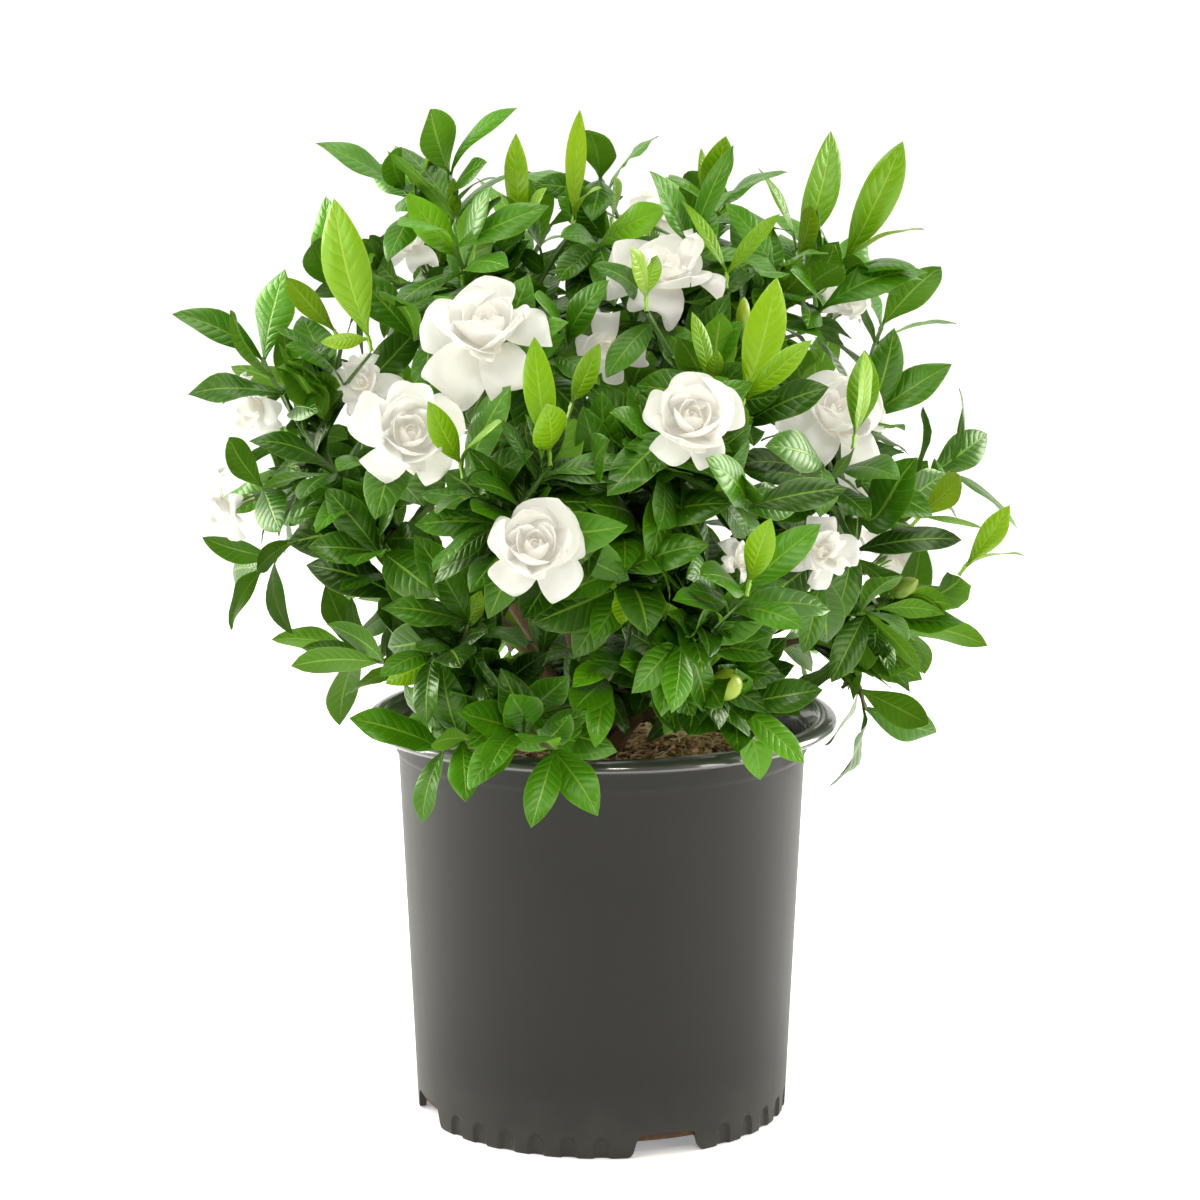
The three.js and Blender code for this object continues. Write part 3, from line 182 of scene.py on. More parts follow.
class Paint:
    """One material, built from the first value to the shader."""

    def __init__(self, name):
        self.material = bpy.data.materials.new(name)
        self.material.use_nodes = True
        self.tree = self.material.node_tree
        self.tree.nodes.clear()

    def node(self, kind, settings=None, sockets=(), output=0):
        """Adds a node, its settings first, and returns one of its outputs."""
        node = self.tree.nodes.new(kind)
        for key, value in (settings or {}).items():
            if key == "stops":
                self.set_stops(node.color_ramp, value)
            else:
                setattr(node, key, value)
        pairs = sockets.items() if isinstance(sockets, dict) else enumerate(sockets)
        for key, value in pairs:
            if isinstance(value, Wire):
                self.tree.links.new(value.socket, node.inputs[key])
            else:
                node.inputs[key].default_value = value
        return Wire(self, node.outputs[output])

    @staticmethod
    def set_stops(ramp, stops):
        while len(ramp.elements) < len(stops):
            ramp.elements.new(1.0)
        for element, (place, colour) in zip(ramp.elements, stops):
            element.position = place
            element.color = (*colour, 1.0)

    def mix(self, share, low, high):
        """A colour between two, by a share that may vary."""
        low, high = [c if isinstance(c, Wire) else (*c, 1.0) for c in (low, high)]
        return self.node("ShaderNodeMix", {"data_type": "RGBA"}, {0: share, 6: low, 7: high}, 2)

    def step(self, value, start, end):
        """0 before the start, 1 after the end, and smooth between them."""
        sockets = {0: value, 1: start, 2: end}
        return self.node("ShaderNodeMapRange", {"interpolation_type": "SMOOTHSTEP"}, sockets)

    def place(self):
        return self.node("ShaderNodeTexCoord", output="Object")

    def noise(self, scale, detail=2.0, rough=0.5, at=None):
        sockets = {"Vector": at or self.place(), "Scale": scale, "Detail": detail, "Roughness": rough}
        return self.node("ShaderNodeTexNoise", {}, sockets)

    def parts(self, vector):
        return [self.node("ShaderNodeSeparateXYZ", {}, [vector], i) for i in range(3)]

    def marks(self):
        """The three numbers that a mesh keeps for each of its points."""
        return self.parts(self.node("ShaderNodeAttribute", {"attribute_name": MARKS}, output="Vector"))

    def bump(self, height, depth, strength=1.0):
        sockets = {"Height": height, "Distance": depth, "Strength": strength}
        return self.node("ShaderNodeBump", {}, sockets)

    def finish(self, **sockets):
        """Ends the material in a Principled shader. Names use _ for a space."""
        named = {key.replace("_", " "): value for key, value in sockets.items()}
        for key in named.keys() & {"Base Color", "Specular Tint", "Emission Color"}:
            if isinstance(named[key], tuple):
                named[key] = (*named[key], 1.0)
        shader = self.node("ShaderNodeBsdfPrincipled", {}, named)
        surface = self.tree.nodes.new("ShaderNodeOutputMaterial").inputs["Surface"]
        self.tree.links.new(shader.socket, surface)
        return self.material


# %% [markdown]
# ## Gathering small pieces into one mesh
#
# A spray of sixty leaves is one object. A heap gathers points and faces as arrays and turns them
# into a mesh at the end. Each point may keep three numbers, its marks, that a material reads:
# how far along its leaf it is, how far across, and the leaf's tone, partly its own and partly painted light
# and shade.

# %% A heap of points and faces
def new_object(name, data):
    thing = bpy.data.objects.new(name, data)
    bpy.context.scene.collection.objects.link(thing)
    return thing


class Heap:
    """Gathers the parts of one object."""

    def __init__(self):
        self.points = []
        self.marks = []
        self.faces = []
        self.slots = []
        self.count = 0

    def add(self, points, faces, slots, marks=(0, 0, 0)):
        """Points in an array of any shape, kept inside the solids' box, and marks to match."""
        points = np.asarray(points, float)
        marks = np.stack([np.broadcast_to(mark, points.shape[:-1]) for mark in marks], -1)
        self.points.append(np.clip(points.reshape(-1, 3), *cad_box))
        self.marks.append(marks.reshape(-1, 3))
        shift = self.count
        self.faces.extend([i + shift for i in face] for face in faces)
        self.slots.append(np.broadcast_to(slots, len(faces)))
        self.count += len(self.points[-1])

    def make(self, name, paints, smooth_angle=50):
        mesh = bpy.data.meshes.new(name)
        mesh.from_pydata(np.concatenate(self.points), [], self.faces)
        for paint in paints:
            mesh.materials.append(paint)
        mesh.polygons.foreach_set("material_index", np.concatenate(self.slots).astype(np.int32))
        marks = mesh.attributes.new(MARKS, "FLOAT_VECTOR", "POINT")
        marks.data.foreach_set("vector", np.concatenate(self.marks).astype(np.float32).ravel())
        mesh.polygons.foreach_set("use_smooth", np.ones(len(mesh.polygons), bool))
        mesh.set_sharp_from_angle(angle=math.radians(smooth_angle))
        return new_object(name, mesh)


def dress(piece, node):
    """Puts a piece in the place of a CAD node."""
    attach(piece, "root")
    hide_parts(node)


# %% Faces on rings of points
def band(i, j, sides):
    """The faces between two rings."""
    ahead = [(k + 1) % sides for k in range(sides)]
    return [[i * sides + k, i * sides + m, j * sides + m, j * sides + k] for k, m in enumerate(ahead)]


def caps(rings, sides):
    """One face over the first ring and one over the last."""
    end = (rings - 1) * sides
    return [list(range(sides))[::-1], [end + k for k in range(sides)]]


def tube_faces(rings, sides):
    return [face for i in range(rings - 1) for face in band(i, i + 1, sides)] + caps(rings, sides)


# %% [markdown]
# ## Reading a solid back
#
# In the CAD solids a leaf or petal is a thin blade with three points at a third of its length,
# three at two thirds, and one at its tip. So a point with just three neighbours is a tip, its
# neighbours are the outer ring, and theirs the inner one. Nothing has to be copied out of the CAD
# source: the leaves are found where they are.

# %% Points, triangles and neighbours of a node
def skin_of(name):
    mesh = nodes[name].data
    corners = np.empty(len(mesh.vertices) * 3)
    mesh.vertices.foreach_get("co", corners)
    order = np.empty(len(mesh.loops), int)
    mesh.loops.foreach_get("vertex_index", order)
    points, index = np.unique(np.round(corners.reshape(-1, 3), 7), axis=0, return_inverse=True)
    faces = index.reshape(-1)[order].reshape(-1, 3)
    return points, [tuple(face) for face in faces if len(set(face)) == 3]


def neighbours_of(count, faces):
    near = [set() for _ in range(count)]
    for a, b, c in faces:
        near[a] |= {b, c}
        near[b] |= {a, c}
        near[c] |= {a, b}
    return near


def ring_beyond(near, ring, behind):
    return set().union(*(near[i] for i in ring)) - ring - behind


# %% Blades, and the stem that is left without them
LEAST_BLADE = 10 * MM
FLATNESS = 0.72
MOST_BEYOND, SLENDER = 8, 0.6


def ring_edges(ring):
    return np.sort(length(ring - np.roll(ring, 1, axis=0))[:, 0])


def is_flat(ring):
    """A blade's ring is a flat triangle, one edge nearly as long as the others together."""
    short, middle, long = ring_edges(ring)
    return long > FLATNESS * (short + middle)


def inner_ring(points, near, tip, outer):
    """The three points beyond the outer ring. Where a stem crosses the blade there are more."""
    beyond = ring_beyond(near, outer, {tip})
    short, middle, long = ring_edges(points[list(outer)])
    if len(beyond) == 3:
        return beyond if is_flat(points[list(beyond)]) else None
    if not 3 < len(beyond) <= MOST_BEYOND or middle > SLENDER * long or long < LEAST_BLADE:
        return None
    unlike = {
        three: np.abs(ring_edges(points[list(three)]) - (short, middle, long)).sum()
        for three in combinations(beyond, 3)
    }
    return set(min(unlike, key=unlike.get))


def split_blades(points, faces):
    """The blades as (root, inner ring, outer ring, tip), and the faces of the stem."""
    near = neighbours_of(len(points), faces)
    blades = []
    taken = set()
    closed = []
    for tip, outer in enumerate(near):
        inner = inner_ring(points, near, tip, outer) if len(outer) == 3 else None
        if inner is None:
            continue
        root = ring_beyond(near, inner, outer)
        centre = points[list(root)].mean(0)
        if length(points[tip] - centre)[0] < LEAST_BLADE:
            continue
        blades.append((centre, points[list(inner)], points[list(outer)], points[tip]))
        taken |= {tip} | outer | inner
        closed += [tuple(root)] if len(root) == 3 else []
    stem = [face for face in faces if not taken & set(face)]
    return blades, stem + [facing_out(face, stem) for face in closed]


def facing_out(face, others):
    """A face turned so that it runs against its neighbours along their shared edges."""
    edges = {(a, b) for x, y, z in others for a, b in ((x, y), (y, z), (z, x))}
    same = sum((face[i], face[(i + 1) % 3]) in edges for i in range(3))
    return face[::-1] if same > 1 else face


def nodes_named(start):
    return [name for name in plant_nodes if name.startswith(start)]


SEEDS = {"trunk_": 77, "spray_": 100, "young_shoot_": 200, "bloom_": 300, "bud_": 400, "mix": 500}


def seeded(start):
    """Each node of a kind, its number, and random draws of its own that are the same each run."""
    for number, name in enumerate(nodes_named(start)):
        yield number, name, np.random.default_rng(SEEDS[start] + number)


plant_nodes = [name for name in nodes if name not in ("pot", "potting_mix", "trunk_and_limbs")]
found = {name: split_blades(*skin_of(name)) for name in plant_nodes}
print("blades found:", sum(len(blades) for blades, _ in found.values()))

# %% [markdown]
# ## A leaf
#
# A gardenia leaf is a long oval that narrows to a point, glossy and dark above and dull and paler
# below. Its side veins are sunk in creases with puffed strips between them. Here its middle line
# runs smoothly through the blade's root, its two rings and its tip, and a grid of points is
# spread to both sides of it. The two skins share their edge, so each leaf is a thin closed body.

# %% The middle line and the frame of many blades at once
STATIONS = np.array([0.0, 0.34, 0.68, 1.0])
LEAF_BELLY, LEAF_FULLNESS = 1.18, 0.88


def line_weights(share):
    """How much each of the four points counts at each share of the length, and its slope."""
    weights, slopes = [], []
    for i, at in enumerate(STATIONS):
        others = np.delete(STATIONS, i)
        curve = np.poly1d(others, r=True) / np.prod(at - others)
        weights.append(curve(share))
        slopes.append(curve.deriv()(share))
    return np.stack(weights, -1), np.stack(slopes, -1)


def blade_of(root, inner, outer, tip):
    """Four points of a middle line, the direction across it, and the blade's width."""
    sides, middles, widths = [], [], []
    for ring, profile in ((inner, leaf_profile(STATIONS[1])), (outer, leaf_profile(STATIONS[2]))):
        spans = [length(ring[i] - ring[(i + 1) % 3])[0] for i in range(3)]
        i = int(np.argmax(spans))
        left, right, rib = ring[i], ring[(i + 1) % 3], ring[(i + 2) % 3]
        ahead = tip - root
        below = np.cross(right - left, ahead) @ (rib - left) < 0
        side = right - left if below else left - right
        sides.append(unit(side))
        middles.append((left + right) / 2)
        widths.append(spans[i] / profile)
    return np.array([root, *middles, tip]), unit(sides[0] + sides[1]), sum(widths) / 2


def leaf_profile(share):
    return np.sin(np.pi * np.clip(share, 0, 1) ** LEAF_BELLY) ** LEAF_FULLNESS


def arc_blade(root, tip, face, wide, bend):
    """A blade that no solid holds: an arc from its root to its tip that falls away from its face."""
    heading = unit(tip - root)
    normal = square_to(face, heading)
    half = bend / 2
    start = heading * math.cos(half) + normal * math.sin(half)
    across = normal * math.cos(half) - heading * math.sin(half)
    radius = length(tip - root)[0] / 2 / math.sin(half)
    turns = [2 * half * share for share in STATIONS]
    spine = [root + radius * (math.sin(t) * start - (1 - math.cos(t)) * across) for t in turns]
    return np.array(spine), np.cross(heading, normal), wide


# %% The grid of a thin leaf: its upper skin, its lower skin, and the edge that they share
def ring_order(columns):
    """Across the upper skin and back along the lower one: the column and the skin of each point."""
    upper = [(j, 1) for j in range(columns)]
    lower = [(j, -1) for j in range(columns - 2, 0, -1)]
    return upper + lower


def sheet_faces(rows, columns):
    """Both skins are split along the same diagonals, so neither comes through the other."""
    ring = 2 * columns - 2
    faces = []
    for i in range(rows - 1):
        for j in range(ring):
            k = (j + 1) % ring
            a, b, c, d = i * ring + j, i * ring + k, (i + 1) * ring + k, (i + 1) * ring + j
            faces += [[a, b, c], [a, c, d]] if j < columns - 1 else [[a, b, d], [b, c, d]]
    return faces + caps(rows, ring)


def sheet_slots(rows, columns, upper, lower):
    ring = 2 * columns - 2
    one_row = [slot for j in range(ring) for slot in 2 * [upper if j < columns - 1 else lower]]
    return np.array(one_row * (rows - 1) + [lower, lower])


# %% Leaves as arrays
FINE = (13, 7)
PLAIN = (9, 5)
LEAF_THICK = 0.45 * MM
STALK_HALF = 0.75 * MM
STALK_END, STALK_THICKER = 0.08, 2.5
ROW_CROWDING = 0.94


def sheet_points(middle, side, normal, out, rise):
    """A grid: each point lies out to the side of its row's middle, and rises off it."""
    across = middle[..., None, :] + side[..., None, :] * out[..., None]
    return across + normal[..., None, :] * rise[..., None]


def leaf_points(blades, rng, detail, ruffle=1.0):
    """Many leaves as one array of leaf, row and place round the section, and their shared marks."""
    rows, columns = detail
    spines = np.array([blade[0] for blade in blades])
    sides = np.array([blade[1] for blade in blades])[:, None, :]
    wide = np.array([blade[2] for blade in blades])[:, None, None]
    share = np.linspace(0, 1, rows) ** ROW_CROWDING
    weights, slopes = line_weights(share)
    middle = np.einsum("rk,nkx->nrx", weights, spines)
    ahead = unit(np.einsum("rk,nkx->nrx", slopes, spines))
    side = square_to(np.broadcast_to(sides, ahead.shape), ahead)
    normal = np.cross(side, ahead)
    half = np.maximum(wide[..., 0] * leaf_profile(share) / 2, STALK_HALF * (1 - share**3))
    order = ring_order(columns)
    across = np.array([-1 + 2 * j / (columns - 1) for j, _ in order])
    skin = np.array([s for _, s in order])
    fold, curl, wave, beat, phase, drift = leaf_draws(rng, len(blades), ruffle)
    half, along, edge = half[..., None], share[:, None], np.abs(across)
    turn = beat * along + phase + np.pi * (across > 0)
    rise = half * (fold * edge - curl * edge**2.5 + wave * edge**2 * np.sin(turn))
    bow = drift * wide * np.sin(np.pi * along)
    stalk = np.where(along < STALK_END, STALK_THICKER, 1.0)
    thick = LEAF_THICK * (1 - edge**2) * np.where(skin > 0, 0, -1) * stalk
    return sheet_points(middle, side, normal, across * half + bow, rise + thick), (along, across)


def leaf_draws(rng, count, ruffle):
    """How each leaf folds and curls, waves its rim, and bows to a side."""
    spread = {"fold": (0.05, 0.3), "curl": (0.05, 0.3), "wave": (0.08, 0.26)}
    spread |= {"beat": (5, 11), "phase": (0, 2 * np.pi), "drift": (-0.06, 0.06)}
    draws = {key: rng.uniform(low, high, (count, 1, 1)) for key, (low, high) in spread.items()}
    draws["wave"] *= ruffle
    return draws.values()


def add_leaves(heap, blades, tones, rng, upper, lower, detail=FINE, ruffle=1.0):
    if not len(blades):
        return
    points, places = leaf_points(blades, rng, detail, ruffle)
    faces = sheet_faces(*detail)
    slots = sheet_slots(*detail, upper, lower)
    for leaf, tone in zip(points, tones):
        heap.add(leaf, faces, slots, (*places, tone))


print("faces a leaf:", len(sheet_faces(*FINE)), "or", len(sheet_faces(*PLAIN)))

# %% [markdown]
# ## The green finishes
#
# The veins are drawn from the marks, not from a picture. Going out from the midrib they sweep
# towards the tip, so each is a line where `along - sweep * across` is a whole number. The sine of
# that number is a row of puffed strips with creases between them, and a bump node lifts it.

# %% Leaf paints
VEINS = 10.0
SWEEP = 1.5


def leaf_paint(name, dark, light, fresh, rib_colour, rough, coat, depth):
    paint = Paint(name)
    along, across, tone = paint.marks()
    edge = abs(across)
    cloud = paint.noise(45, 2)
    drift = cloud * 2.5 + tone * 9.0
    strips = along * (VEINS * math.pi) - edge * (SWEEP * math.pi) + drift
    puff = abs(strips.sine())
    crease = 1 - paint.step(puff, 0.0, 0.4)
    rib = 1 - paint.step(edge, 0.02, 0.09)
    grain = paint.noise(900, 3)
    # The tone carries painted light and shade from the leaf's place in the crown, and sets how light the
    # blade is.
    shade = tone * 1.15 + (cloud - 0.5) * 0.4
    blade = paint.mix(shade, dark, light)
    newer = paint.mix(paint.step(tone, 0.8, 1.0), blade, fresh)
    margin = paint.step(edge, 0.9, 1.0)
    veined = paint.mix(crease * 0.12 * (1 - rib) + margin * 0.3, newer, rib_colour)
    colour = paint.mix(rib * 0.6, veined, rib_colour)
    height = (puff**0.6) * (1 - rib) * (1 - edge**4.0) + grain * 0.05
    roughness = (grain - 0.5) * 0.12 + crease * 0.08 + rough
    return paint.finish(
        Base_Color=colour,
        Roughness=roughness,
        Coat_Weight=coat,
        Coat_Roughness=0.2,
        Specular_IOR_Level=0.42,
        Specular_Tint=(0.62, 1.0, 0.32),
        Normal=paint.bump(height, depth),
    )


GREEN_TOP = [(0.005, 0.023, 0.001), (0.06, 0.22, 0.002), (0.18, 0.39, 0.005), (0.19, 0.34, 0.025)]
# The under skins are paler, as a gardenia's are, and lighter still as painted light for the light that comes
# through a leaf.
GREEN_BACK = [(0.045, 0.14, 0.005), (0.12, 0.29, 0.008), (0.2, 0.41, 0.012), (0.28, 0.44, 0.07)]
LIME_TOP = [(0.08, 0.21, 0.001), (0.17, 0.33, 0.002), (0.22, 0.37, 0.006), (0.3, 0.45, 0.04)]
LIME_BACK = [(0.12, 0.25, 0.003), (0.2, 0.34, 0.01), (0.26, 0.4, 0.02), (0.34, 0.47, 0.06)]
leaf_upper = leaf_paint("leaf_upper", *GREEN_TOP, 0.33, 0.15, 0.38 * MM)
leaf_under = leaf_paint("leaf_under", *GREEN_BACK, 0.55, 0.0, 0.25 * MM)
young_upper = leaf_paint("young_upper", *LIME_TOP, 0.32, 0.2, 0.4 * MM)
young_under = leaf_paint("young_under", *LIME_BACK, 0.45, 0.0, 0.25 * MM)


def stem_paint(name, bark, green):
    """Bark low down and inside, and green where the stems are young: up high and far out."""
    paint = Paint(name)
    place = paint.place()
    x, y, z = paint.parts(place)
    reach = (x * x + y * y) ** 0.5
    young = paint.step(reach * 1.6 + (z - 0.3), 0.12, 0.36)
    fleck = paint.noise(420, 4, 0.65)
    stripes = paint.noise(160, 3, 0.6)
    brown = paint.mix(fleck, bark, [c * 2.2 for c in bark])
    leafy = paint.mix(stripes, green, [c * 1.5 for c in green])
    colour = paint.mix(young, brown, leafy)
    return paint.finish(
        Base_Color=colour,
        Roughness=0.75 - young * 0.3,
        Normal=paint.bump(fleck + stripes * 0.6, 0.5 * MM),
    )


green_stem = stem_paint("green_stem", (0.07, 0.05, 0.025), (0.06, 0.13, 0.02))
young_stem = stem_paint("young_stem", (0.2, 0.3, 0.03), (0.22, 0.4, 0.04))
bark = stem_paint("bark", (0.095, 0.062, 0.03), (0.1, 0.09, 0.03))
print("materials so far:", len(bpy.data.materials))

# %% [markdown]
# ## Stems
#
# The CAD stems have three sides. Subdividing them rounds them off, and because that also thins
# them, their points are first pushed out along their normals.

# %% A rounded copy of a stem's skin, whose ends stay where they are
END_FACE = 7 * MM
BARK_SWELL, STEM_SWELL, SHOOT_SWELL = 0.9 * MM, 0.55 * MM, 0.35 * MM


def longest_edge(points, face):
    corners = points[list(face)]
    return length(corners - np.roll(corners, 1, axis=0)).max()


def mesh_faces(mesh):
    return [tuple(polygon.vertices) for polygon in mesh.polygons]


def rounded(points, faces, swell, levels):
    mesh = bpy.data.meshes.new("stem draft")
    used = sorted({i for face in faces for i in face})
    place = {old: new for new, old in enumerate(used)}
    mesh.from_pydata(points[used], [], [[place[i] for i in face] for face in faces])
    mesh.update()
    for vertex, normal in zip(mesh.vertices, [v.normal.copy() for v in mesh.vertices]):
        vertex.co = vertex.co + normal * swell
    ends = {place[i] for face in faces for i in face if longest_edge(points, face) < END_FACE}
    ends |= {i for i, near in enumerate(neighbours_of(len(used), mesh_faces(mesh))) if len(near) == 3}
    held = mesh.attributes.new("crease_vert", "FLOAT", "POINT")
    held.data.foreach_set("value", [float(i in ends) for i in range(len(used))])
    draft = new_object("stem draft", mesh)
    draft.modifiers.new("round", "SUBSURF").levels = levels
    graph = bpy.context.evaluated_depsgraph_get()
    smooth = draft.evaluated_get(graph).to_mesh()
    corners = np.array([vertex.co[:] for vertex in smooth.vertices])
    quads = [list(polygon.vertices) for polygon in smooth.polygons]
    bpy.data.objects.remove(draft)
    bpy.data.meshes.remove(mesh)
    return corners, quads


# %% [markdown]
# ## Filling the crown
#
# The solids hold the leaves that make the outline. A real shrub has several times as many inside,
# in opposite pairs down every stem. They are set by rule: a pair starts at the middle of a long
# face of the stem, and a leaf is left out if it would leave the crown, enter the pot or a bloom,
# or hide a bloom or lime leaf from the front.

# %% Where the stems run: a point on the axis and the way outward, for each long face
CROWN_MIDDLE = np.array([0.0, 0.0, 0.26])
LONG_FACE, BROAD_FACE = 7 * MM, 6 * MM


def stem_stretches(points, faces):
    tree = BVHTree.FromPolygons([Vector(p) for p in points], faces)
    stretches = []
    for face in faces:
        a, b, c = (points[i] for i in face)
        edges = sorted(((b - a), (c - b), (a - c)), key=lambda e: e @ e)
        long, short = edges[2], edges[0]
        if length(long)[0] < LONG_FACE or length(short)[0] > BROAD_FACE:
            continue
        middle = (a + b + c) / 3
        axis = unit(long)
        normal = unit(np.cross(b - a, c - a))
        far = tree.ray_cast(Vector(middle - normal * 0.05 * MM), Vector(-normal), 8 * MM)[3]
        centre = middle - normal * (far or 2 * MM) / 2
        outward = axis if axis @ (centre - CROWN_MIDDLE) > 0 else -axis
        stretches.append((centre, outward, length(long)[0]))
    return stretches


# %% Small lime leaves between the dark ones: root and tip in the photograph's pixels, and breadth
LIME_LEAVES = {
    "low_left": ((432, 651), (379, 678), 0.42),
    "middle_drooping": ((626, 588), (621, 628), 0.62),
    "middle_upright": ((624, 574), (637, 548), 0.55),
    "left_upright": ((472, 606), (487, 566), 0.45),
    "lower_left": ((538, 634), (509, 617), 0.55),
    "lower_right": ((548, 646), (567, 622), 0.5),
    "behind_crown_bloom": ((525, 306), (562, 337), 0.4),
    "crest_left": ((486, 196), (487, 168), 0.4),
    "crest_far_left": ((461, 228), (460, 202), 0.5),
    "tip_bud": ((592, 440), (592, 400), 0.26),
}
CAMERA = np.array([-1.0, -2100.0, 697.0]) * MM
FRAME_PIXELS = 1200
FOCAL_PIXELS = 3612
PITCH = math.radians(10.5)
AHEAD = np.array([0.0, math.cos(PITCH), -math.sin(PITCH)])
ABOVE = np.array([0.0, math.sin(PITCH), math.cos(PITCH)])


def pixel_of(point):
    away = point - CAMERA
    scale = FOCAL_PIXELS / (away @ AHEAD)
    return FRAME_PIXELS / 2 + np.array([away[0], -(away @ ABOVE)]) * scale


def place_of(pixel, depth):
    right, down = (np.array(pixel) - FRAME_PIXELS / 2) * depth / FOCAL_PIXELS
    return CAMERA + AHEAD * depth + [right, 0, 0] - ABOVE * down


stretches = {
    name: stem_stretches(skin_of(name)[0], found[name][1]) for name in nodes_named("spray_")
}
BACK_COST = 150
LIME_FORWARD, LIME_BEND, LIME_TONE = 6 * MM, 0.5, 0.6


def nearest_stem(pixel):
    """The stem that stands closest to a pixel: each metre further back counts as many pixels."""
    best = (np.inf, None, None)
    for name, places in stretches.items():
        for centre, *_ in places:
            cost = length(pixel_of(centre) - pixel)[0] + BACK_COST * (centre[1] + 0.2)
            best = min(best, (cost, name, tuple(centre)))
    return best[1], np.array(best[2])


def lime_leaf(root_pixel, tip_pixel, breadth):
    name, root = nearest_stem(np.array(root_pixel))
    depth = (root - CAMERA) @ AHEAD
    run = place_of(tip_pixel, depth) - place_of(root_pixel, depth) - AHEAD * LIME_FORWARD
    face = UP * 0.3 - AHEAD
    return name, arc_blade(root, root + run, face, length(run)[0] * breadth, LIME_BEND)


lime = {name: [] for name in stretches}
for stem, blade in (lime_leaf(*spot) for spot in LIME_LEAVES.values()):
    lime[stem].append(blade)
print("lime leaves:", {name: len(blades) for name, blades in lime.items() if blades})

# %% What an extra leaf keeps clear of
CROWN_OUTLINE = [(200, 130), (215, 130), (240, 190), (300, 235), (350, 258), (400, 258), (450, 246)]
CROWN_OUTLINE += [(500, 236), (550, 211), (590, 181), (620, 116)]
CROWN_DEPTH = 0.95
POT_TOP = 246 * MM
MOUTH_REACH, MOUTH_FLOOR = 110 * MM, 222 * MM


def in_crown(point):
    """Whether a point is inside the crown's outline, and not in the pot or its wall."""
    heights, radii = np.array(CROWN_OUTLINE).T * MM
    reach = math.hypot(point[0], point[1] / CROWN_DEPTH)
    low, high = cad_box
    boxed = all(low[i] + MM < point[i] < high[i] - MM for i in range(3))
    above_pot = point[2] > POT_TOP or (reach < MOUTH_REACH and point[2] > MOUTH_FLOOR)
    return boxed and above_pot and reach < np.interp(point[2], heights, radii)


def bloom_sight(name):
    """A bloom's middle and reach, from the blades of its node."""
    blades, _ = found[name]
    tips = np.array([tip for *_, tip in blades])
    roots = np.array([root for root, *_ in blades])
    middle = roots.mean(0)
    return middle, length(tips - middle).max()


SHOOT_SIGHT, LIME_SIGHT = 10 * MM, 7 * MM
sights = [bloom_sight(name) for name in nodes_named("bloom_")]
for name in nodes_named("young_shoot_"):
    sights += [((root + tip) / 2, SHOOT_SIGHT) for root, _, _, tip in found[name][0]]
sights += [(spine[2], LIME_SIGHT) for blades in lime.values() for spine, *_ in blades]
sight_middles = np.array([middle for middle, _ in sights])
sight_reaches = np.array([reach for _, reach in sights])
INSIDE_SHARE, BEFORE_SHARE = 0.95, 0.9


def hides_or_enters(points):
    """Whether any of some points is inside a bloom or lime leaf, or stands before one."""
    away = sight_middles[None] - points[:, None]
    if (length(away)[..., 0] < sight_reaches * INSIDE_SHARE).any():
        return True
    ray = unit(sight_middles - CAMERA)[None]
    offset = points[:, None] - CAMERA
    ahead = dot(offset, ray)[..., 0]
    aside = length(offset - ray * ahead[..., None])[..., 0]
    nearer = ahead < length(sight_middles - CAMERA)[:, 0]
    return bool((nearer & (aside < sight_reaches * BEFORE_SHARE)).any())


def has_room(blade):
    inner, outer, tip = blade[0][1:]
    return in_crown(tip) and in_crown(outer) and not hides_or_enters(np.array([inner, outer, tip]))


# %% Pairs of leaves down the stems
FACE_RUN_A_PAIR = 66 * MM  # a face as long as this would carry a pair each time
PAIR_SPAN, PAIR_BREADTH = (34 * MM, 58 * MM), (0.38, 0.5)
PAIR_SPREAD, PAIR_BEND = (0.75, 1.3), (0.25, 0.95)
PAIR_ROOT = 0.8 * MM
SIDE_REACH, SIDE_FADE = 110 * MM, 60 * MM
SIDE_HEIGHT, SIDE_RISE = 300 * MM, 40 * MM
SIDE_THINNING = 0.65


def thinned(centre):
    """The shrub is thin high up on both sides, so that white shows through it there."""
    beside = np.clip((abs(centre[0]) - SIDE_REACH) / SIDE_FADE, 0, 1)
    return 1 - SIDE_THINNING * beside * np.clip((centre[2] - SIDE_HEIGHT) / SIDE_RISE, 0, 1)


def extra_pairs(places, rng):
    blades = []
    for centre, outward, run in places:
        if rng.random() > run / FACE_RUN_A_PAIR * thinned(centre):
            continue
        turn = rng.uniform(0, 2 * np.pi)
        for half in (0, np.pi):
            out = around(outward, turn + half)
            spread = rng.uniform(*PAIR_SPREAD)
            heading = outward * math.cos(spread) + out * math.sin(spread)
            span = rng.uniform(*PAIR_SPAN)
            root = centre + out * PAIR_ROOT
            tip = root + heading * span
            face = outward * math.sin(spread) + UP * 0.6 + unit(centre * [1, 1, 0]) * 0.3
            wide = span * rng.uniform(*PAIR_BREADTH)
            blade = arc_blade(root, tip, face, wide, rng.uniform(*PAIR_BEND))
            blades += [blade] if has_room(blade) else []
    return blades


# %% A tone for each leaf: lighter outside, low down, in front and on top, darker within; the lighter front and top and the darker inside are painted light and shade
CROWN_REACH = 0.25
LOW_TONES, HIGH_TONES, TONE_FADE = 0.34, 0.42, 0.12
DARKEST, LIGHTEST, TONE_SPREAD = -0.08, 0.97, 0.17


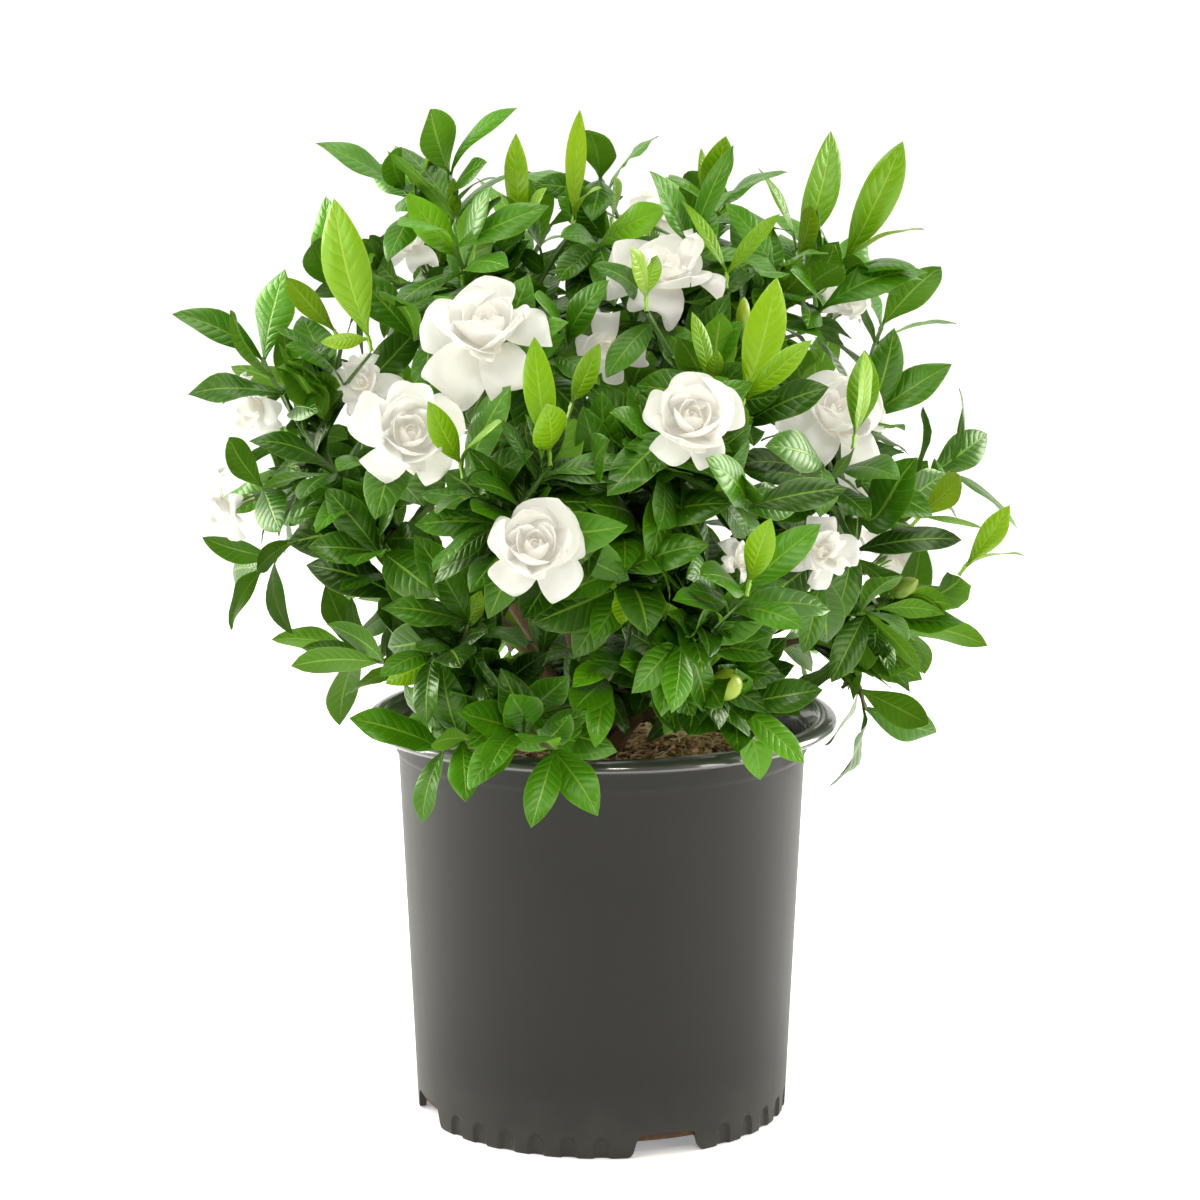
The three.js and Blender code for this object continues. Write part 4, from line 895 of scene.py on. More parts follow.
def tones_with_painted_light(blades, rng):
    x, y, z = np.array([blade[0][3] for blade in blades]).reshape(-1, 3).T
    reach = np.hypot(x, y) / CROWN_REACH
    front = np.clip(-y / CROWN_REACH, 0, 1)
    low = np.clip((LOW_TONES - z) / TONE_FADE, 0, 1)
    high = np.clip((z - HIGH_TONES) / TONE_FADE, 0, 1)
    # The random spread is each leaf's own tone; the front and high terms and the darker inside are painted
    # light and shade.
    tones = 0.42 * reach + 0.1 * front + 0.25 * low + 0.5 * high
    return np.clip(tones + rng.normal(0, TONE_SPREAD, len(x)) + DARKEST, 0, LIGHTEST)


# %% Build the wood, with dark leaves that spring from its lower bark
LOW_BARK, HIGH_BARK = 240 * MM, 335 * MM
BARK_TRIES = 150
BARK_SPAN, BARK_BREADTH, BARK_BEND = (30, 50), 0.46, (0.4, 1.0)
DARK_TONES = (0.0, 0.45)


def bark_leaves(corners, quads, rng):
    low = [quad for quad in quads if LOW_BARK < corners[quad[0]][2] < HIGH_BARK]
    blades = []
    for pick in rng.choice(len(low), BARK_TRIES, replace=False):
        a, b, c, d = corners[low[pick]]
        out = unit(np.cross(c - a, d - b))
        heading = unit(out + UP * rng.uniform(-0.7, 0.5) + rng.normal(0, 0.35, 3))
        root = (a + b + c + d) / 4
        span = rng.uniform(*BARK_SPAN) * MM
        bend = rng.uniform(*BARK_BEND)
        blade = arc_blade(root, root + heading * span, UP + out * 0.4, span * BARK_BREADTH, bend)
        blades += [blade] if has_room(blade) else []
    return blades


wood = Heap()
bark_corners, bark_quads = rounded(*skin_of("trunk_and_limbs"), BARK_SWELL, 2)
wood.add(bark_corners, bark_quads, 0)
rng = np.random.default_rng(SEEDS["trunk_"])
low_leaves = bark_leaves(bark_corners, bark_quads, rng)
add_leaves(wood, low_leaves, rng.uniform(*DARK_TONES, len(low_leaves)), rng, 1, 2, PLAIN)
wood_piece = wood.make("trunk_and_limbs_bark", [bark, leaf_upper, leaf_under], 80)
dress(wood_piece, "trunk_and_limbs")
print("wood:", wood.count, "points and", len(low_leaves), "leaves")

# %% Build the sprays
total_extra = 0
for _, name, rng in seeded("spray_"):
    points = skin_of(name)[0]
    raw, stem = found[name]
    held = [blade_of(*blade) for blade in raw]
    extra = extra_pairs(stretches[name], rng)
    total_extra += len(extra)
    spray = Heap()
    add_leaves(spray, held, tones_with_painted_light(held, rng), rng, 0, 1)
    add_leaves(spray, extra, tones_with_painted_light(extra, rng), rng, 0, 1, PLAIN)
    add_leaves(spray, lime[name], [LIME_TONE] * len(lime[name]), rng, 3, 4)
    spray.add(*rounded(points, stem, STEM_SWELL, 1), 2)
    paints = [leaf_upper, leaf_under, green_stem, young_upper, young_under]
    dress(spray.make(name + "_leaves", paints), name)
print("extra leaves:", total_extra)

# %% Build the young shoots
for _, name, rng in seeded("young_shoot_"):
    points = skin_of(name)[0]
    raw, stem = found[name]
    blades = [blade_of(*blade) for blade in raw]
    shoot = Heap()
    add_leaves(shoot, blades, rng.uniform(0.1, 0.95, len(blades)), rng, 0, 1, FINE, 0.6)
    shoot.add(*rounded(points, stem, SHOOT_SWELL, 1), 2)
    paints = [young_upper, young_under, young_stem]
    dress(shoot.make(name + "_leaves", paints), name)
print("young shoots done")

# %% [markdown]
# ## A bloom
#
# A double gardenia has broad, thick petals that overlap in whorls, flat outside and cupped
# inside, round a heart of small rolled ones. The two outer whorls lie where the solid's petals
# are. The inner ones are set from the bloom's middle and axis, which its own points give. In the
# five large front blooms the heart leans up, and the petals behind it are shorter.

# %% The middle and axis of a bloom
TUBE = 14 * MM
FOOT_REACH = 6.5 * MM


def bloom_frame(points, blades):
    """The middle and the axis of a bloom: its core is longest from its foot to its top."""
    moving = {tuple(p) for _, inner, outer, tip in blades for p in (*inner, *outer, tip)}
    core = np.array([p for p in points if tuple(p) not in moving])
    apart = length(core[:, None] - core[None])[..., 0]
    i, j = np.unravel_index(np.argmax(apart), apart.shape)
    outward = np.mean([tip for *_, tip in blades], 0) - core.mean(0)
    top, foot = (core[i], core[j]) if (core[i] - core[j]) @ outward > 0 else (core[j], core[i])
    foot_middle = core[length(core - foot)[:, 0] < FOOT_REACH].mean(0)
    axis = unit(top - foot_middle)
    return foot_middle + axis * TUBE, axis, foot_middle


# %% The sheet of a petal: rows from its foot to its tip, and columns round its section
PETAL = (14, 11)
PETAL_THICK, PETAL_LEAST = 0.5 * MM, 0.3 * MM
PETAL_BROADEST_AT = 0.6
PETAL_SHEET = sheet_faces(*PETAL)
PETAL_ORDER = ring_order(PETAL[1])
PETAL_ACROSS = np.array([-1 + 2 * j / (PETAL[1] - 1) for j, _ in PETAL_ORDER])[None]
PETAL_SKIN = np.array([s for _, s in PETAL_ORDER])[None]
PETAL_ROWS = np.sin(np.linspace(0, np.pi / 2, PETAL[0]))  # closer together towards the round tip


def petal_outline(share, claw=0.34):
    below = np.clip(share / PETAL_BROADEST_AT, 0, 1)
    above = np.clip((share - PETAL_BROADEST_AT) / (1 - PETAL_BROADEST_AT), 0, 1)
    rise = claw + (1 - claw) * np.sin(np.pi / 2 * below) ** 1.2
    return rise * np.sqrt(1 - above**3)


def petal_waves(share, wide, rng, ruffle):
    """Slow waves along the two rims and a crimp across the end."""
    phase = rng.uniform(0, 2 * np.pi, 4)
    beats = rng.uniform(3.5, 7.5, 3)
    edge = np.abs(PETAL_ACROSS)
    along = share[:, None]
    left = np.sin(beats[0] * along + phase[0]) * (PETAL_ACROSS < 0)
    right = np.sin(beats[1] * along + phase[1]) * (PETAL_ACROSS > 0)
    crimp = np.sin(beats[2] * PETAL_ACROSS + phase[2]) * along**4
    return wide * ruffle * ((left + right) * edge**2 * along + 0.6 * crimp)


# %% An outer petal: it lies on a blade of the solid, hollow at its foot, its rims rolled back
OUTER_RUFFLE, HOLLOW, ROLL, RIM_ROLL = 0.035, 0.55, 0.55, 0.9
TIP_DROP, TIP_FROM, AGED_DROP = 0.55, 0.62, 0.8


def outer_petal(heap, blade, rng, age, keep, curl):
    spine, side, wide = blade
    share = PETAL_ROWS
    weights, slopes = line_weights(share * keep)
    middle = weights @ spine
    ahead = unit(slopes @ spine)
    side = square_to(np.broadcast_to(side, ahead.shape), ahead)
    normal = np.cross(side, ahead)
    half = np.maximum(wide * petal_outline(share) / 2, PETAL_LEAST)[:, None]
    edge, along = np.abs(PETAL_ACROSS), share[:, None]
    hollow = HOLLOW * edge**2 * (1 - along)
    rolled = ROLL * edge**3 * along + RIM_ROLL * np.clip(edge - 0.7, 0, 1) * along
    rise = half * (hollow - rolled * curl) + petal_waves(share, wide, rng, OUTER_RUFFLE)
    drop = wide * TIP_DROP * curl * np.clip(along - TIP_FROM, 0, 1) ** 1.6
    rise = rise - drop * (1 + AGED_DROP * age)
    body = PETAL_THICK * (1 - edge**2) * np.where(PETAL_SKIN > 0, 0, -1)
    out = PETAL_ACROSS * half * (1 - 0.18 * edge * along)
    points = sheet_points(middle, side, normal, out, rise + body)
    heap.add(points, PETAL_SHEET, 0, (along, PETAL_ACROSS, age))


# %% An inner petal: a shell round the bloom's axis, so each one nests inside the one before
LEAN_JITTER = 3
INNER_RUFFLE, INNER_CLAW, INNER_BROAD = 0.012, 0.5, 2.1
INNER_FOOT, TIGHTEST = 0.8 * MM, 2.5 * MM


def cup_petal(heap, heart, turn, shape, heart_depth, rng):
    middle, axis, reach = heart
    lean, span, wrap = shape
    share = PETAL_ROWS
    lean = np.radians(lean + rng.normal(0, LEAN_JITTER, 3))
    tilt = (1 - share) ** 2 * lean[0] + 2 * share * (1 - share) * lean[1] + share**2 * lean[2]
    tilt = tilt + 0.4 * np.clip((share - 0.8) / 0.2, 0, 1) ** 2
    step = np.diff(share, prepend=0) * span * reach
    out = INNER_FOOT + np.cumsum(step * np.sin(tilt))
    up = np.cumsum(step * np.cos(tilt))
    wide = INNER_BROAD * out.max()
    half = np.maximum(wide * petal_outline(share, INNER_CLAW) / 2, PETAL_LEAST)[:, None]
    curve = np.maximum(out / wrap, TIGHTEST)[:, None]
    edge, along = np.abs(PETAL_ACROSS), share[:, None]
    bend = PETAL_ACROSS * half / curve
    waves = petal_waves(share, wide, rng, INNER_RUFFLE)
    shell = PETAL_THICK * (1 - edge**2) * np.where(PETAL_SKIN > 0, 0, 1)
    shift = waves + shell + 0.08 * wide * np.clip(edge - 0.6, 0, 1) * along
    away = out[:, None] - curve * (1 - np.cos(bend)) + shift * np.cos(tilt)[:, None]
    height = up[:, None] - shift * np.sin(tilt)[:, None] - 0.1 * wide * edge**2 * along
    radial = around(axis, turn)
    points = middle + radial * away[..., None]
    points += np.cross(axis, radial) * (curve * np.sin(bend))[..., None] + axis * height[..., None]
    # The third mark, minus the heart depth, makes inner petals creamier, and lighter as painted light
    # against the shade in the heart.
    heap.add(points, PETAL_SHEET, 0, (along, PETAL_ACROSS, -heart_depth))


# %% Hearts: how many petals wind inward, and the lean, length and wrap of the first and the last
GOLDEN_TURN = math.radians(137.5)
BALL = (17, ((80, 54, 2), 1.12, 0.86), ((34, -16, -64), 0.36, 1.0))
FULL = (17, ((74, 46, 10), 0.98, 0.8), ((30, -14, -60), 0.34, 1.0))
ROSETTE = (14, ((84, 48, 44), 0.98, 0.7), ((28, -8, -56), 0.3, 1.0))
CUP = (7, ((62, 20, 30), 0.8, 0.8), ((26, -8, -50), 0.4, 1.0))


def add_heart(heap, heart, kind, rng, turn):
    count, first, last = kind
    for i in range(count):
        u = i / (count - 1)
        lean = np.array(first[0]) * (1 - u) + np.array(last[0]) * u
        span = first[1] * (last[1] / first[1]) ** u
        wrap = first[2] * (1 - u) + last[2] * u
        cup_petal(heap, heart, turn + i * GOLDEN_TURN, (lean, span, wrap), u, rng)


# %% The tube below the petals, and the narrow green lobes that clasp it
def turned(base, axis, stages, sides, swirl=0.0, lobes=0, depth=0.0):
    """Rings on an axis, from pairs of reach and radius, with lobes that may swirl upward."""
    turns = even_turns(sides)
    rings = []
    for reach, radius in stages:
        lift = 1 - depth * np.abs(np.sin(lobes * (turns + swirl * reach) / 2)) ** 8
        rings.append(base + axis * reach + around(axis, turns) * (radius * lift)[:, None])
    return np.array(rings)


def add_turned(heap, rings, slot, tone=0.5):
    count, sides = rings.shape[:2]
    share = np.linspace(0, 1, count)[:, None]
    heap.add(rings, tube_faces(count, sides), slot, (share, 0, tone))


SEPALS = 6
SEPAL_ROOT, SEPAL_WIDE = 2.2 * MM, 3.2 * MM


def add_sepals(heap, base, axis, span, rng, slot):
    blades = []
    for k in range(SEPALS):
        out = around(axis, 2 * np.pi * (k + rng.uniform(-0.1, 0.1)) / SEPALS)
        root = base + out * SEPAL_ROOT
        tip = root + (axis + out * rng.uniform(0.1, 0.35)) * span * rng.uniform(0.85, 1.1)
        blades.append(arc_blade(root, tip, -out, SEPAL_WIDE, 0.3))
    add_leaves(heap, blades, [0.5] * SEPALS, rng, slot, slot, PLAIN, 0.1)


# %% The petal finish: warm white, creamier towards its foot, browned where it has aged, its heart petals painted lighter and all of it glowing faintly as painted light
petal = Paint("petal")
along, across, age = petal.marks()
threads = petal.noise(220, 3, 0.6)
heart_depth = petal.step(age * -1.0, 0.2, 1.1)
# Heart petals get the lighter white: painted light against the shade inside the bloom.
white_with_painted_heart_light = petal.mix(petal.step(age * -1.0, 0.0, 0.5), (0.57, 0.56, 0.51), (0.67, 0.66, 0.61))
cream = petal.mix(petal.step(along + heart_depth * -0.45, -0.1, 0.45), (0.84, 0.75, 0.5), white_with_painted_heart_light)
shaded = petal.mix(threads * 0.15, cream, (0.78, 0.75, 0.66))
rim = petal.step(along + abs(across) * 0.1 + (threads - 0.5) * 0.25, 0.94, 1.1)
aged = petal.mix(rim * petal.step(age, 0.0, 1.0), shaded, (0.45, 0.24, 0.08))
strands = (across * 15.0 + threads * 4.0).sine()
petal_paint = petal.finish(
    Base_Color=aged,
    Roughness=0.5,
    Subsurface_Weight=0.55,
    Subsurface_Radius=(1.0, 0.95, 0.8),
    Subsurface_Scale=0.008,
    # A faint glow of painted light that lifts the shade in the petals.
    Emission_Color=(1.0, 0.97, 0.88),
    Emission_Strength=0.14,
    Normal=petal.bump(strands * 0.08 + threads * 0.4, 0.2 * MM),
)
stigma = Paint("stigma")
speckle = stigma.noise(800)
yellow = stigma.mix(speckle, (0.5, 0.27, 0.07), (0.75, 0.5, 0.16))
stigma_paint = stigma.finish(Base_Color=yellow, Roughness=0.7)
SEPAL_GREENS = [(0.07, 0.17, 0.012), (0.15, 0.3, 0.03), (0.2, 0.38, 0.05), (0.2, 0.36, 0.08)]
sepal_paint = leaf_paint("sepal", *SEPAL_GREENS, 0.5, 0.0, 0.2 * MM)

# %% Which blooms are full, how their hearts stand, and the petals behind them
BALLS = ("bloom_low_middle", "bloom_front_middle")
FULL_BLOOMS = BALLS + ("bloom_crown_left", "bloom_front_left", "bloom_right")
WORN = ("bloom_crown_left", "bloom_front_left", "bloom_right", "bloom_back_middle")
WORN_SHARE = 0.3
HEART_TILT = math.radians(32)
HEART_FORWARD, HEART_DOWN = 0.06, 0.1
STEEP, STEEP_CURL = 0.45, 0.15
SHORTER_ABOVE, SHORTER_BALL = 0.24, 0.07
PETAL_BROADER, PETAL_BROADEST = 1.85, 1.08


def heart_frame(middle, axis, reach):
    """A full heart looks up to the light more than the ring of outer petals round it does."""
    upward = unit(UP - (UP @ axis) * axis)
    tilted = axis * math.cos(HEART_TILT) + upward * math.sin(HEART_TILT)
    return middle + (axis * HEART_FORWARD - upward * HEART_DOWN) * reach, tilted, reach


def add_outer_petal(heap, name, blade, axis, rng):
    """In a full bloom, petals that point up are shorter and ones that point ahead stay straight."""
    spine, side, wide = blade_of(*blade)
    broad = min(wide * PETAL_BROADER, PETAL_BROADEST * length(spine[3] - spine[0])[0])
    worn = float(rng.random() < WORN_SHARE and name in WORN)
    heading = unit(spine[3] - spine[0])
    keep, curl = 1.0, 1.0
    if name in FULL_BLOOMS:
        keep = 1 - SHORTER_ABOVE * max(heading @ UP, 0.0) - SHORTER_BALL * (name in BALLS)
        worn, curl = (0.0, STEEP_CURL) if heading @ axis > STEEP else (worn, 1.0)
    outer_petal(heap, (spine, side, broad), rng, worn, keep, curl)


# %% Build the blooms
SMALL_BLOOM = 27 * MM
TUBE_SIDES, EYE_SIDES = 14, 8
SEPAL_SPAN = 13 * MM
TUBE_STAGES = [(0, 2.2), (8.4, 2.4), (12.6, 3.2), (14, 4.4), (16, 5.6)]
EYE_STAGES = [(0, 0.6), (0.12, 0.8), (0.26, 1.1), (0.29, 0.5)]
for number, name, rng in seeded("bloom_"):
    raw, _ = found[name]
    middle, axis, foot = bloom_frame(skin_of(name)[0], raw)
    reach = length(np.array([tip for *_, tip in raw]) - middle).max()
    bloom = Heap()
    for blade in raw:
        add_outer_petal(bloom, name, blade, axis, rng)
    heart, kind = (middle, axis, reach), ROSETTE if reach > SMALL_BLOOM else CUP
    if name in FULL_BLOOMS:
        heart, kind = heart_frame(*heart), BALL if name in BALLS else FULL
    add_heart(bloom, heart, kind, rng, float(number))
    tube = [(height * MM, radius * MM) for height, radius in TUBE_STAGES]
    add_turned(bloom, turned(foot, axis, tube, TUBE_SIDES), 0)
    eye = [(height * reach, radius * MM) for height, radius in EYE_STAGES]
    add_turned(bloom, turned(*heart[:2], eye, EYE_SIDES), 1)
    add_sepals(bloom, foot, axis, SEPAL_SPAN, rng, 2)
    piece = bloom.make(name + "_petals", [petal_paint, stigma_paint, sepal_paint], 60)
    dress(piece, name)
    print(name, "reach", round(reach / MM), "mm,", len(piece.data.polygons), "faces")

# %% [markdown]
# ## Buds
#
# A gardenia bud is a tight spiral: the petals' edges wind round it as grooves from foot to tip.
# The round one has swollen, so its grooves are nearly gone.

# %% Build the buds
bud_skin = Paint("bud")
along, _, tone = bud_skin.marks()
toward_tip = bud_skin.step(along, 0.1, 0.9)
darker = bud_skin.mix(toward_tip, (0.05, 0.13, 0.004), (0.16, 0.25, 0.008))
paler = bud_skin.mix(toward_tip, (0.16, 0.28, 0.003), (0.26, 0.36, 0.008))
both = bud_skin.mix(tone, darker, paler)
bud_paint = bud_skin.finish(
    Base_Color=bud_skin.mix(bud_skin.noise(300, 3) * 0.25, both, (0.27, 0.36, 0.03)),
    Roughness=0.38,
    Coat_Weight=0.15,
    Normal=bud_skin.bump(bud_skin.noise(700, 3), 0.1 * MM),
)
BUD_OUTLINE = [(0.0, 0.42), (0.06, 0.62), (0.15, 0.82), (0.28, 0.95), (0.42, 1.0), (0.56, 0.99)]
BUD_OUTLINE += [(0.7, 0.88), (0.82, 0.68), (0.91, 0.44), (0.97, 0.2), (1.0, 0.04)]
ROUND_OUTLINE = [(0.0, 0.4), (0.04, 0.62), (0.12, 0.84), (0.24, 0.98), (0.38, 1.06), (0.52, 1.06)]
ROUND_OUTLINE += [(0.66, 0.97), (0.78, 0.8), (0.87, 0.58), (0.93, 0.32), (0.955, 0.06)]
PALE_BUDS = ("bud_round", "bud_slim")
GROOVE, FAINT_GROOVE = 0.12, 0.04
BUD_SIDES, BUD_LOBES, BUD_SWIRL = 36, 5, 2.6
PALE_TONE, DARK_TONE = 1.0, 0.2


def bud_frame(points):
    """The foot, axis, length and radius of a bud, whose rings of six all stand evenly from its tip."""
    apart = length(points[:, None] - points[None])[..., 0]
    apart.sort(axis=1)
    uneven = apart[:, 1:].reshape(len(points), -1, 6).std(2).sum(1)
    top = points[np.argmin(uneven)]
    farthest = np.argsort(length(points - top)[:, 0])[-6:]
    foot = points[farthest].mean(0)
    axis = unit(top - foot)
    away = points - foot - dot(points - foot, axis) * axis
    return foot, axis, length(top - foot)[0], length(away).max()


for _, name, rng in seeded("bud_"):
    foot, axis, long, radius = bud_frame(skin_of(name)[0])
    bud = Heap()
    outline, groove = (ROUND_OUTLINE, FAINT_GROOVE) if name == "bud_round" else (BUD_OUTLINE, GROOVE)
    stages = [(share * long, wide * radius) for share, wide in outline]
    swirl = turned(foot, axis, stages, BUD_SIDES, BUD_SWIRL / long, BUD_LOBES, groove)
    add_turned(bud, swirl, 0, PALE_TONE if name in PALE_BUDS else DARK_TONE)
    add_sepals(bud, foot - axis * MM, axis, long * 0.5, rng, 1)
    dress(bud.make(name + "_swirl", [bud_paint, sepal_paint], 70), name)
    print(name, "is", round(long / MM), "mm long and", round(2 * radius / MM), "mm thick")

# %% [markdown]
# ## The pot
#
# A nursery pot is moulded in one piece of thin plastic. Its lip flares and droops, a small step
# runs round the shoulder, and its foot has four notches and short arched flutes. The profile is
# turned with far more sides than the solid has. The flutes are pushed into the wall, and the
# notches are cut with one Boolean modifier, which is then applied.

# %% The pot's sizes, in millimetres
SHOULDER, SHOULDER_HEIGHT, FOOT = 120.8, 219.0, 110.8
WALL = 1.8
POT_SIDES = 600
POT_SHARP = 32


def wall_radius(height):
    return FOOT + (SHOULDER - FOOT) * height / SHOULDER_HEIGHT


OUTSIDE = [(wall_radius(0) - 3.2, 0.0), (wall_radius(0) - 1.4, 0.0), (wall_radius(0.4) - 0.5, 0.4)]
OUTSIDE += [(wall_radius(z), z) for z in (1.4, 3, 5, 7, 8.5, 9.8, 11, 12, 13, 14, 16, 60, 160, 217.6)]
STEP = [(120.95, 218.6), (121.7, 219.6), (122.35, 220.6), (122.6, 222.0), (122.75, 229.0)]
LIP_OUTSIDE = [(123.4, 231.0), (127.0, 232.4), (132.5, 233.0), (136.6, 233.6), (138.9, 234.9)]
LIP_OUTSIDE += [(139.7, 236.3), (139.5, 237.8), (138.3, 239.3), (136.2, 240.5), (133.7, 241.2)]
LIP_INSIDE = [(131.2, 241.3), (129.6, 240.8), (126.0, 237.0), (121.9, 231.0), (121.0, 229.0), (120.9, 222.0)]
INSIDE = [(119.6, 219.4), (wall_radius(205) - WALL, 205), (wall_radius(12) - WALL, 12.0)]
INSIDE += [(wall_radius(10) - WALL - 2, 9.6), (0.01, 9.6), (0.01, 8.0), (wall_radius(8) - 4.4, 8.0)]
INSIDE += [(wall_radius(z) - 4.2, z) for z in (6, 4, 2, 0.6)]
POT_PROFILE = OUTSIDE + STEP + LIP_OUTSIDE + LIP_INSIDE + INSIDE


def lathe(profile, sides):
    """A closed skin: the profile is a loop of radius and height, in millimetres."""
    radius, height = np.array(profile).T[..., None] * MM
    points = circles(radius, height, even_turns(sides))
    count = len(profile)
    faces = [face for i in range(count) for face in band(i, (i + 1) % count, sides)]
    return points.reshape(-1, 3), faces


# %% Flutes: the wall is pushed in, as the mould does it, so the foot's edge is scalloped
NOTCH_BEARINGS = [20 + 90 * k for k in range(4)]
FLUTE_BEARINGS = [65 + 90 * k + 10 * (i - 2.5) for k in range(4) for i in range(6)]
FLUTE_HALF, FLUTE_HEIGHT, FLUTE_DEPTH = 4.9, 13.4, 2.0
FLUTE_FADE = 2.0
OUTER_BAND = 6


def flute(points):
    """Moves the points of the foot inward where a flute is."""
    x, y, z = points.T / MM
    bearing = np.degrees(np.arctan2(x, -y))
    apart = (bearing[:, None] - np.array(FLUTE_BEARINGS)[None] + 180) % 360 - 180
    across = np.radians(np.abs(apart).min(1)) * np.hypot(x, y) / FLUTE_HALF
    rise = np.clip(z / FLUTE_HEIGHT, 0, 1)
    width = np.sqrt(1 - rise**4)
    dent = np.clip(1 - (across / np.maximum(width, 0.01)) ** 4, 0, 1) ** 0.6
    push = FLUTE_DEPTH * dent * np.clip((FLUTE_HEIGHT - z) / FLUTE_FADE, 0, 1) ** 0.5
    outside = np.hypot(x, y) > FOOT - OUTER_BAND
    scale = 1 - np.where(outside, push, 0) / np.maximum(np.hypot(x, y), 1)
    return np.stack([x * scale, y * scale, z], -1) * MM


# %% Notches: an arch through the foot, its corners rounded
HALF_NOTCH = [(24, -1), (24, 0.0), (21.6, 1.2), (20.2, 3.4), (18.6, 9.4), (17.4, 12.0)]
HALF_NOTCH += [(15.2, 13.4), (12, 13.7)]
NOTCH = HALF_NOTCH + [(-x, z) for x, z in reversed(HALF_NOTCH)]
NOTCH_REACH = (100, 118)


def wedge(bearing):
    """A notch's outline on the ground line, pushed through the wall at a bearing from the front."""
    turn = math.radians(bearing)
    out = np.array([math.sin(turn), -math.cos(turn), 0.0])
    side = np.array([math.cos(turn), math.sin(turn), 0.0])
    ends = [[(out * reach + side * x + UP * z) * MM for x, z in NOTCH] for reach in NOTCH_REACH]
    return ends, tube_faces(2, len(NOTCH))


cutters = Heap()
for bearing in NOTCH_BEARINGS:
    cutters.add(*wedge(bearing), 0)

# %% The pot's finish: grained charcoal plastic, dusty near its foot, shiny on its lip and mouth; the lip's lighter grey is painted light
LIP_EDGE = (0.2318, 0.2332)
MOUTH_EDGE, MOUTH_WALL = (0.2225, 0.2235), (0.1219, 0.1223)
plastic = Paint("charcoal_plastic")
x, y, z = plastic.parts(plastic.place())
stretched = plastic.node("ShaderNodeMapping", {}, {"Vector": plastic.place(), "Scale": (1, 1, 0.12)})
flow = plastic.noise(38, 4, 0.6, stretched)
grain = plastic.noise(2600, 2)
scuffs = plastic.step(plastic.noise(70, 6, 0.7), 0.62, 0.8)
dust = (1 - plastic.step(z, 0.0, 0.05)) * 0.3 * plastic.noise(60, 4)
tint = plastic.mix(flow, (0.007, 0.007, 0.006), (0.013, 0.013, 0.011))
dusty = plastic.mix(dust + scuffs * 0.05, tint, (0.1, 0.09, 0.075))
lip = plastic.step(z, *LIP_EDGE)
inside = plastic.step(z, *MOUTH_EDGE) * (1 - plastic.step((x * x + y * y) ** 0.5, *MOUTH_WALL))
pot_paint = plastic.finish(
    # The lip's lighter grey is painted light, standing in for the sheen of the sky on its top.
    Base_Color=plastic.mix(lip, dusty, (0.04, 0.04, 0.037)),
    Coat_Weight=(lip + inside * (1 - lip)) * 0.8,
    Coat_Roughness=0.12,
    Coat_IOR=2.0,
    Roughness=(flow - 0.5) * 0.18 + scuffs * 0.1 + 0.44,
    Specular_IOR_Level=0.28,
    Normal=plastic.bump(grain * 0.3 + flow * 0.6, 0.12 * MM),
)

# %% Turn it, cut it and finish it
draft = Heap()
turned_points, turned_faces = lathe(POT_PROFILE, POT_SIDES)
draft.add(flute(turned_points), turned_faces, 0)
pot = draft.make("pot_moulding", [pot_paint], POT_SHARP)
cutter = cutters.make("foot_cutters", [pot_paint])
cut = pot.modifiers.new("foot", "BOOLEAN")
cut.operation, cut.solver, cut.object = "DIFFERENCE", "EXACT", cutter
graph = bpy.context.evaluated_depsgraph_get()
pot.data = bpy.data.meshes.new_from_object(pot.evaluated_get(graph))
pot.modifiers.clear()
bpy.data.objects.remove(cutter)
pot.data.set_sharp_from_angle(angle=math.radians(POT_SHARP))
dress(pot, "pot")
print("pot:", len(pot.data.polygons), "faces")

# %% [markdown]
# ## The potting mix
#
# Bark, peat and a few fibres and feed pellets. The surface is a grid with small lumps. The pieces
# on it are scattered at random from a fixed seed, apart from a tuft of straw in front.

# %% The surface of the mix, in millimetres
MIX_LEVEL, MIX_MOUND, MIX_FOOT = 206.0, 8.0, 9.9
MIX_GAP = 0.3
MIX_RADIUS, FOOT_RADIUS = [wall_radius(z) - WALL - MIX_GAP for z in (MIX_LEVEL, MIX_FOOT)]
MIX_RINGS, MIX_SIDES = 46, 180
BUMPS = 220
mix_rng = np.random.default_rng(SEEDS["mix"])
bumps = mix_rng.uniform(-1, 1, (BUMPS, 2)) * MIX_RADIUS
bump_sizes = mix_rng.uniform(3, 11, BUMPS)
bump_heights = mix_rng.uniform(-1.6, 1.9, BUMPS)


def mix_height(x, y):
    """The height of the surface above a point, in millimetres."""
    share = np.clip(np.hypot(x, y) / MIX_RADIUS, 0, 1)
    rise = MIX_LEVEL + MIX_MOUND * (1 - share**2)
    apart = (x[..., None] - bumps[:, 0]) ** 2 + (y[..., None] - bumps[:, 1]) ** 2
    lumps = (bump_heights * np.exp(-apart / bump_sizes**2)).sum(-1)
    return rise + lumps * np.clip((1 - share) * 8, 0, 1)


radii = np.array([FOOT_RADIUS, *np.linspace(1, 0.02, MIX_RINGS) * MIX_RADIUS])[:, None]
mix_rings = circles(radii, MIX_FOOT, even_turns(MIX_SIDES))
mix_rings[1:, :, 2] = mix_height(mix_rings[1:, :, 0], mix_rings[1:, :, 1])
mix = Heap()
mix.add(mix_rings * MM, tube_faces(MIX_RINGS + 1, MIX_SIDES), 0)

# %% Chips of bark
SCATTER_AREA = (0.012, 0.93)
CHIPS, CHIP_TILT = 3200, 0.35


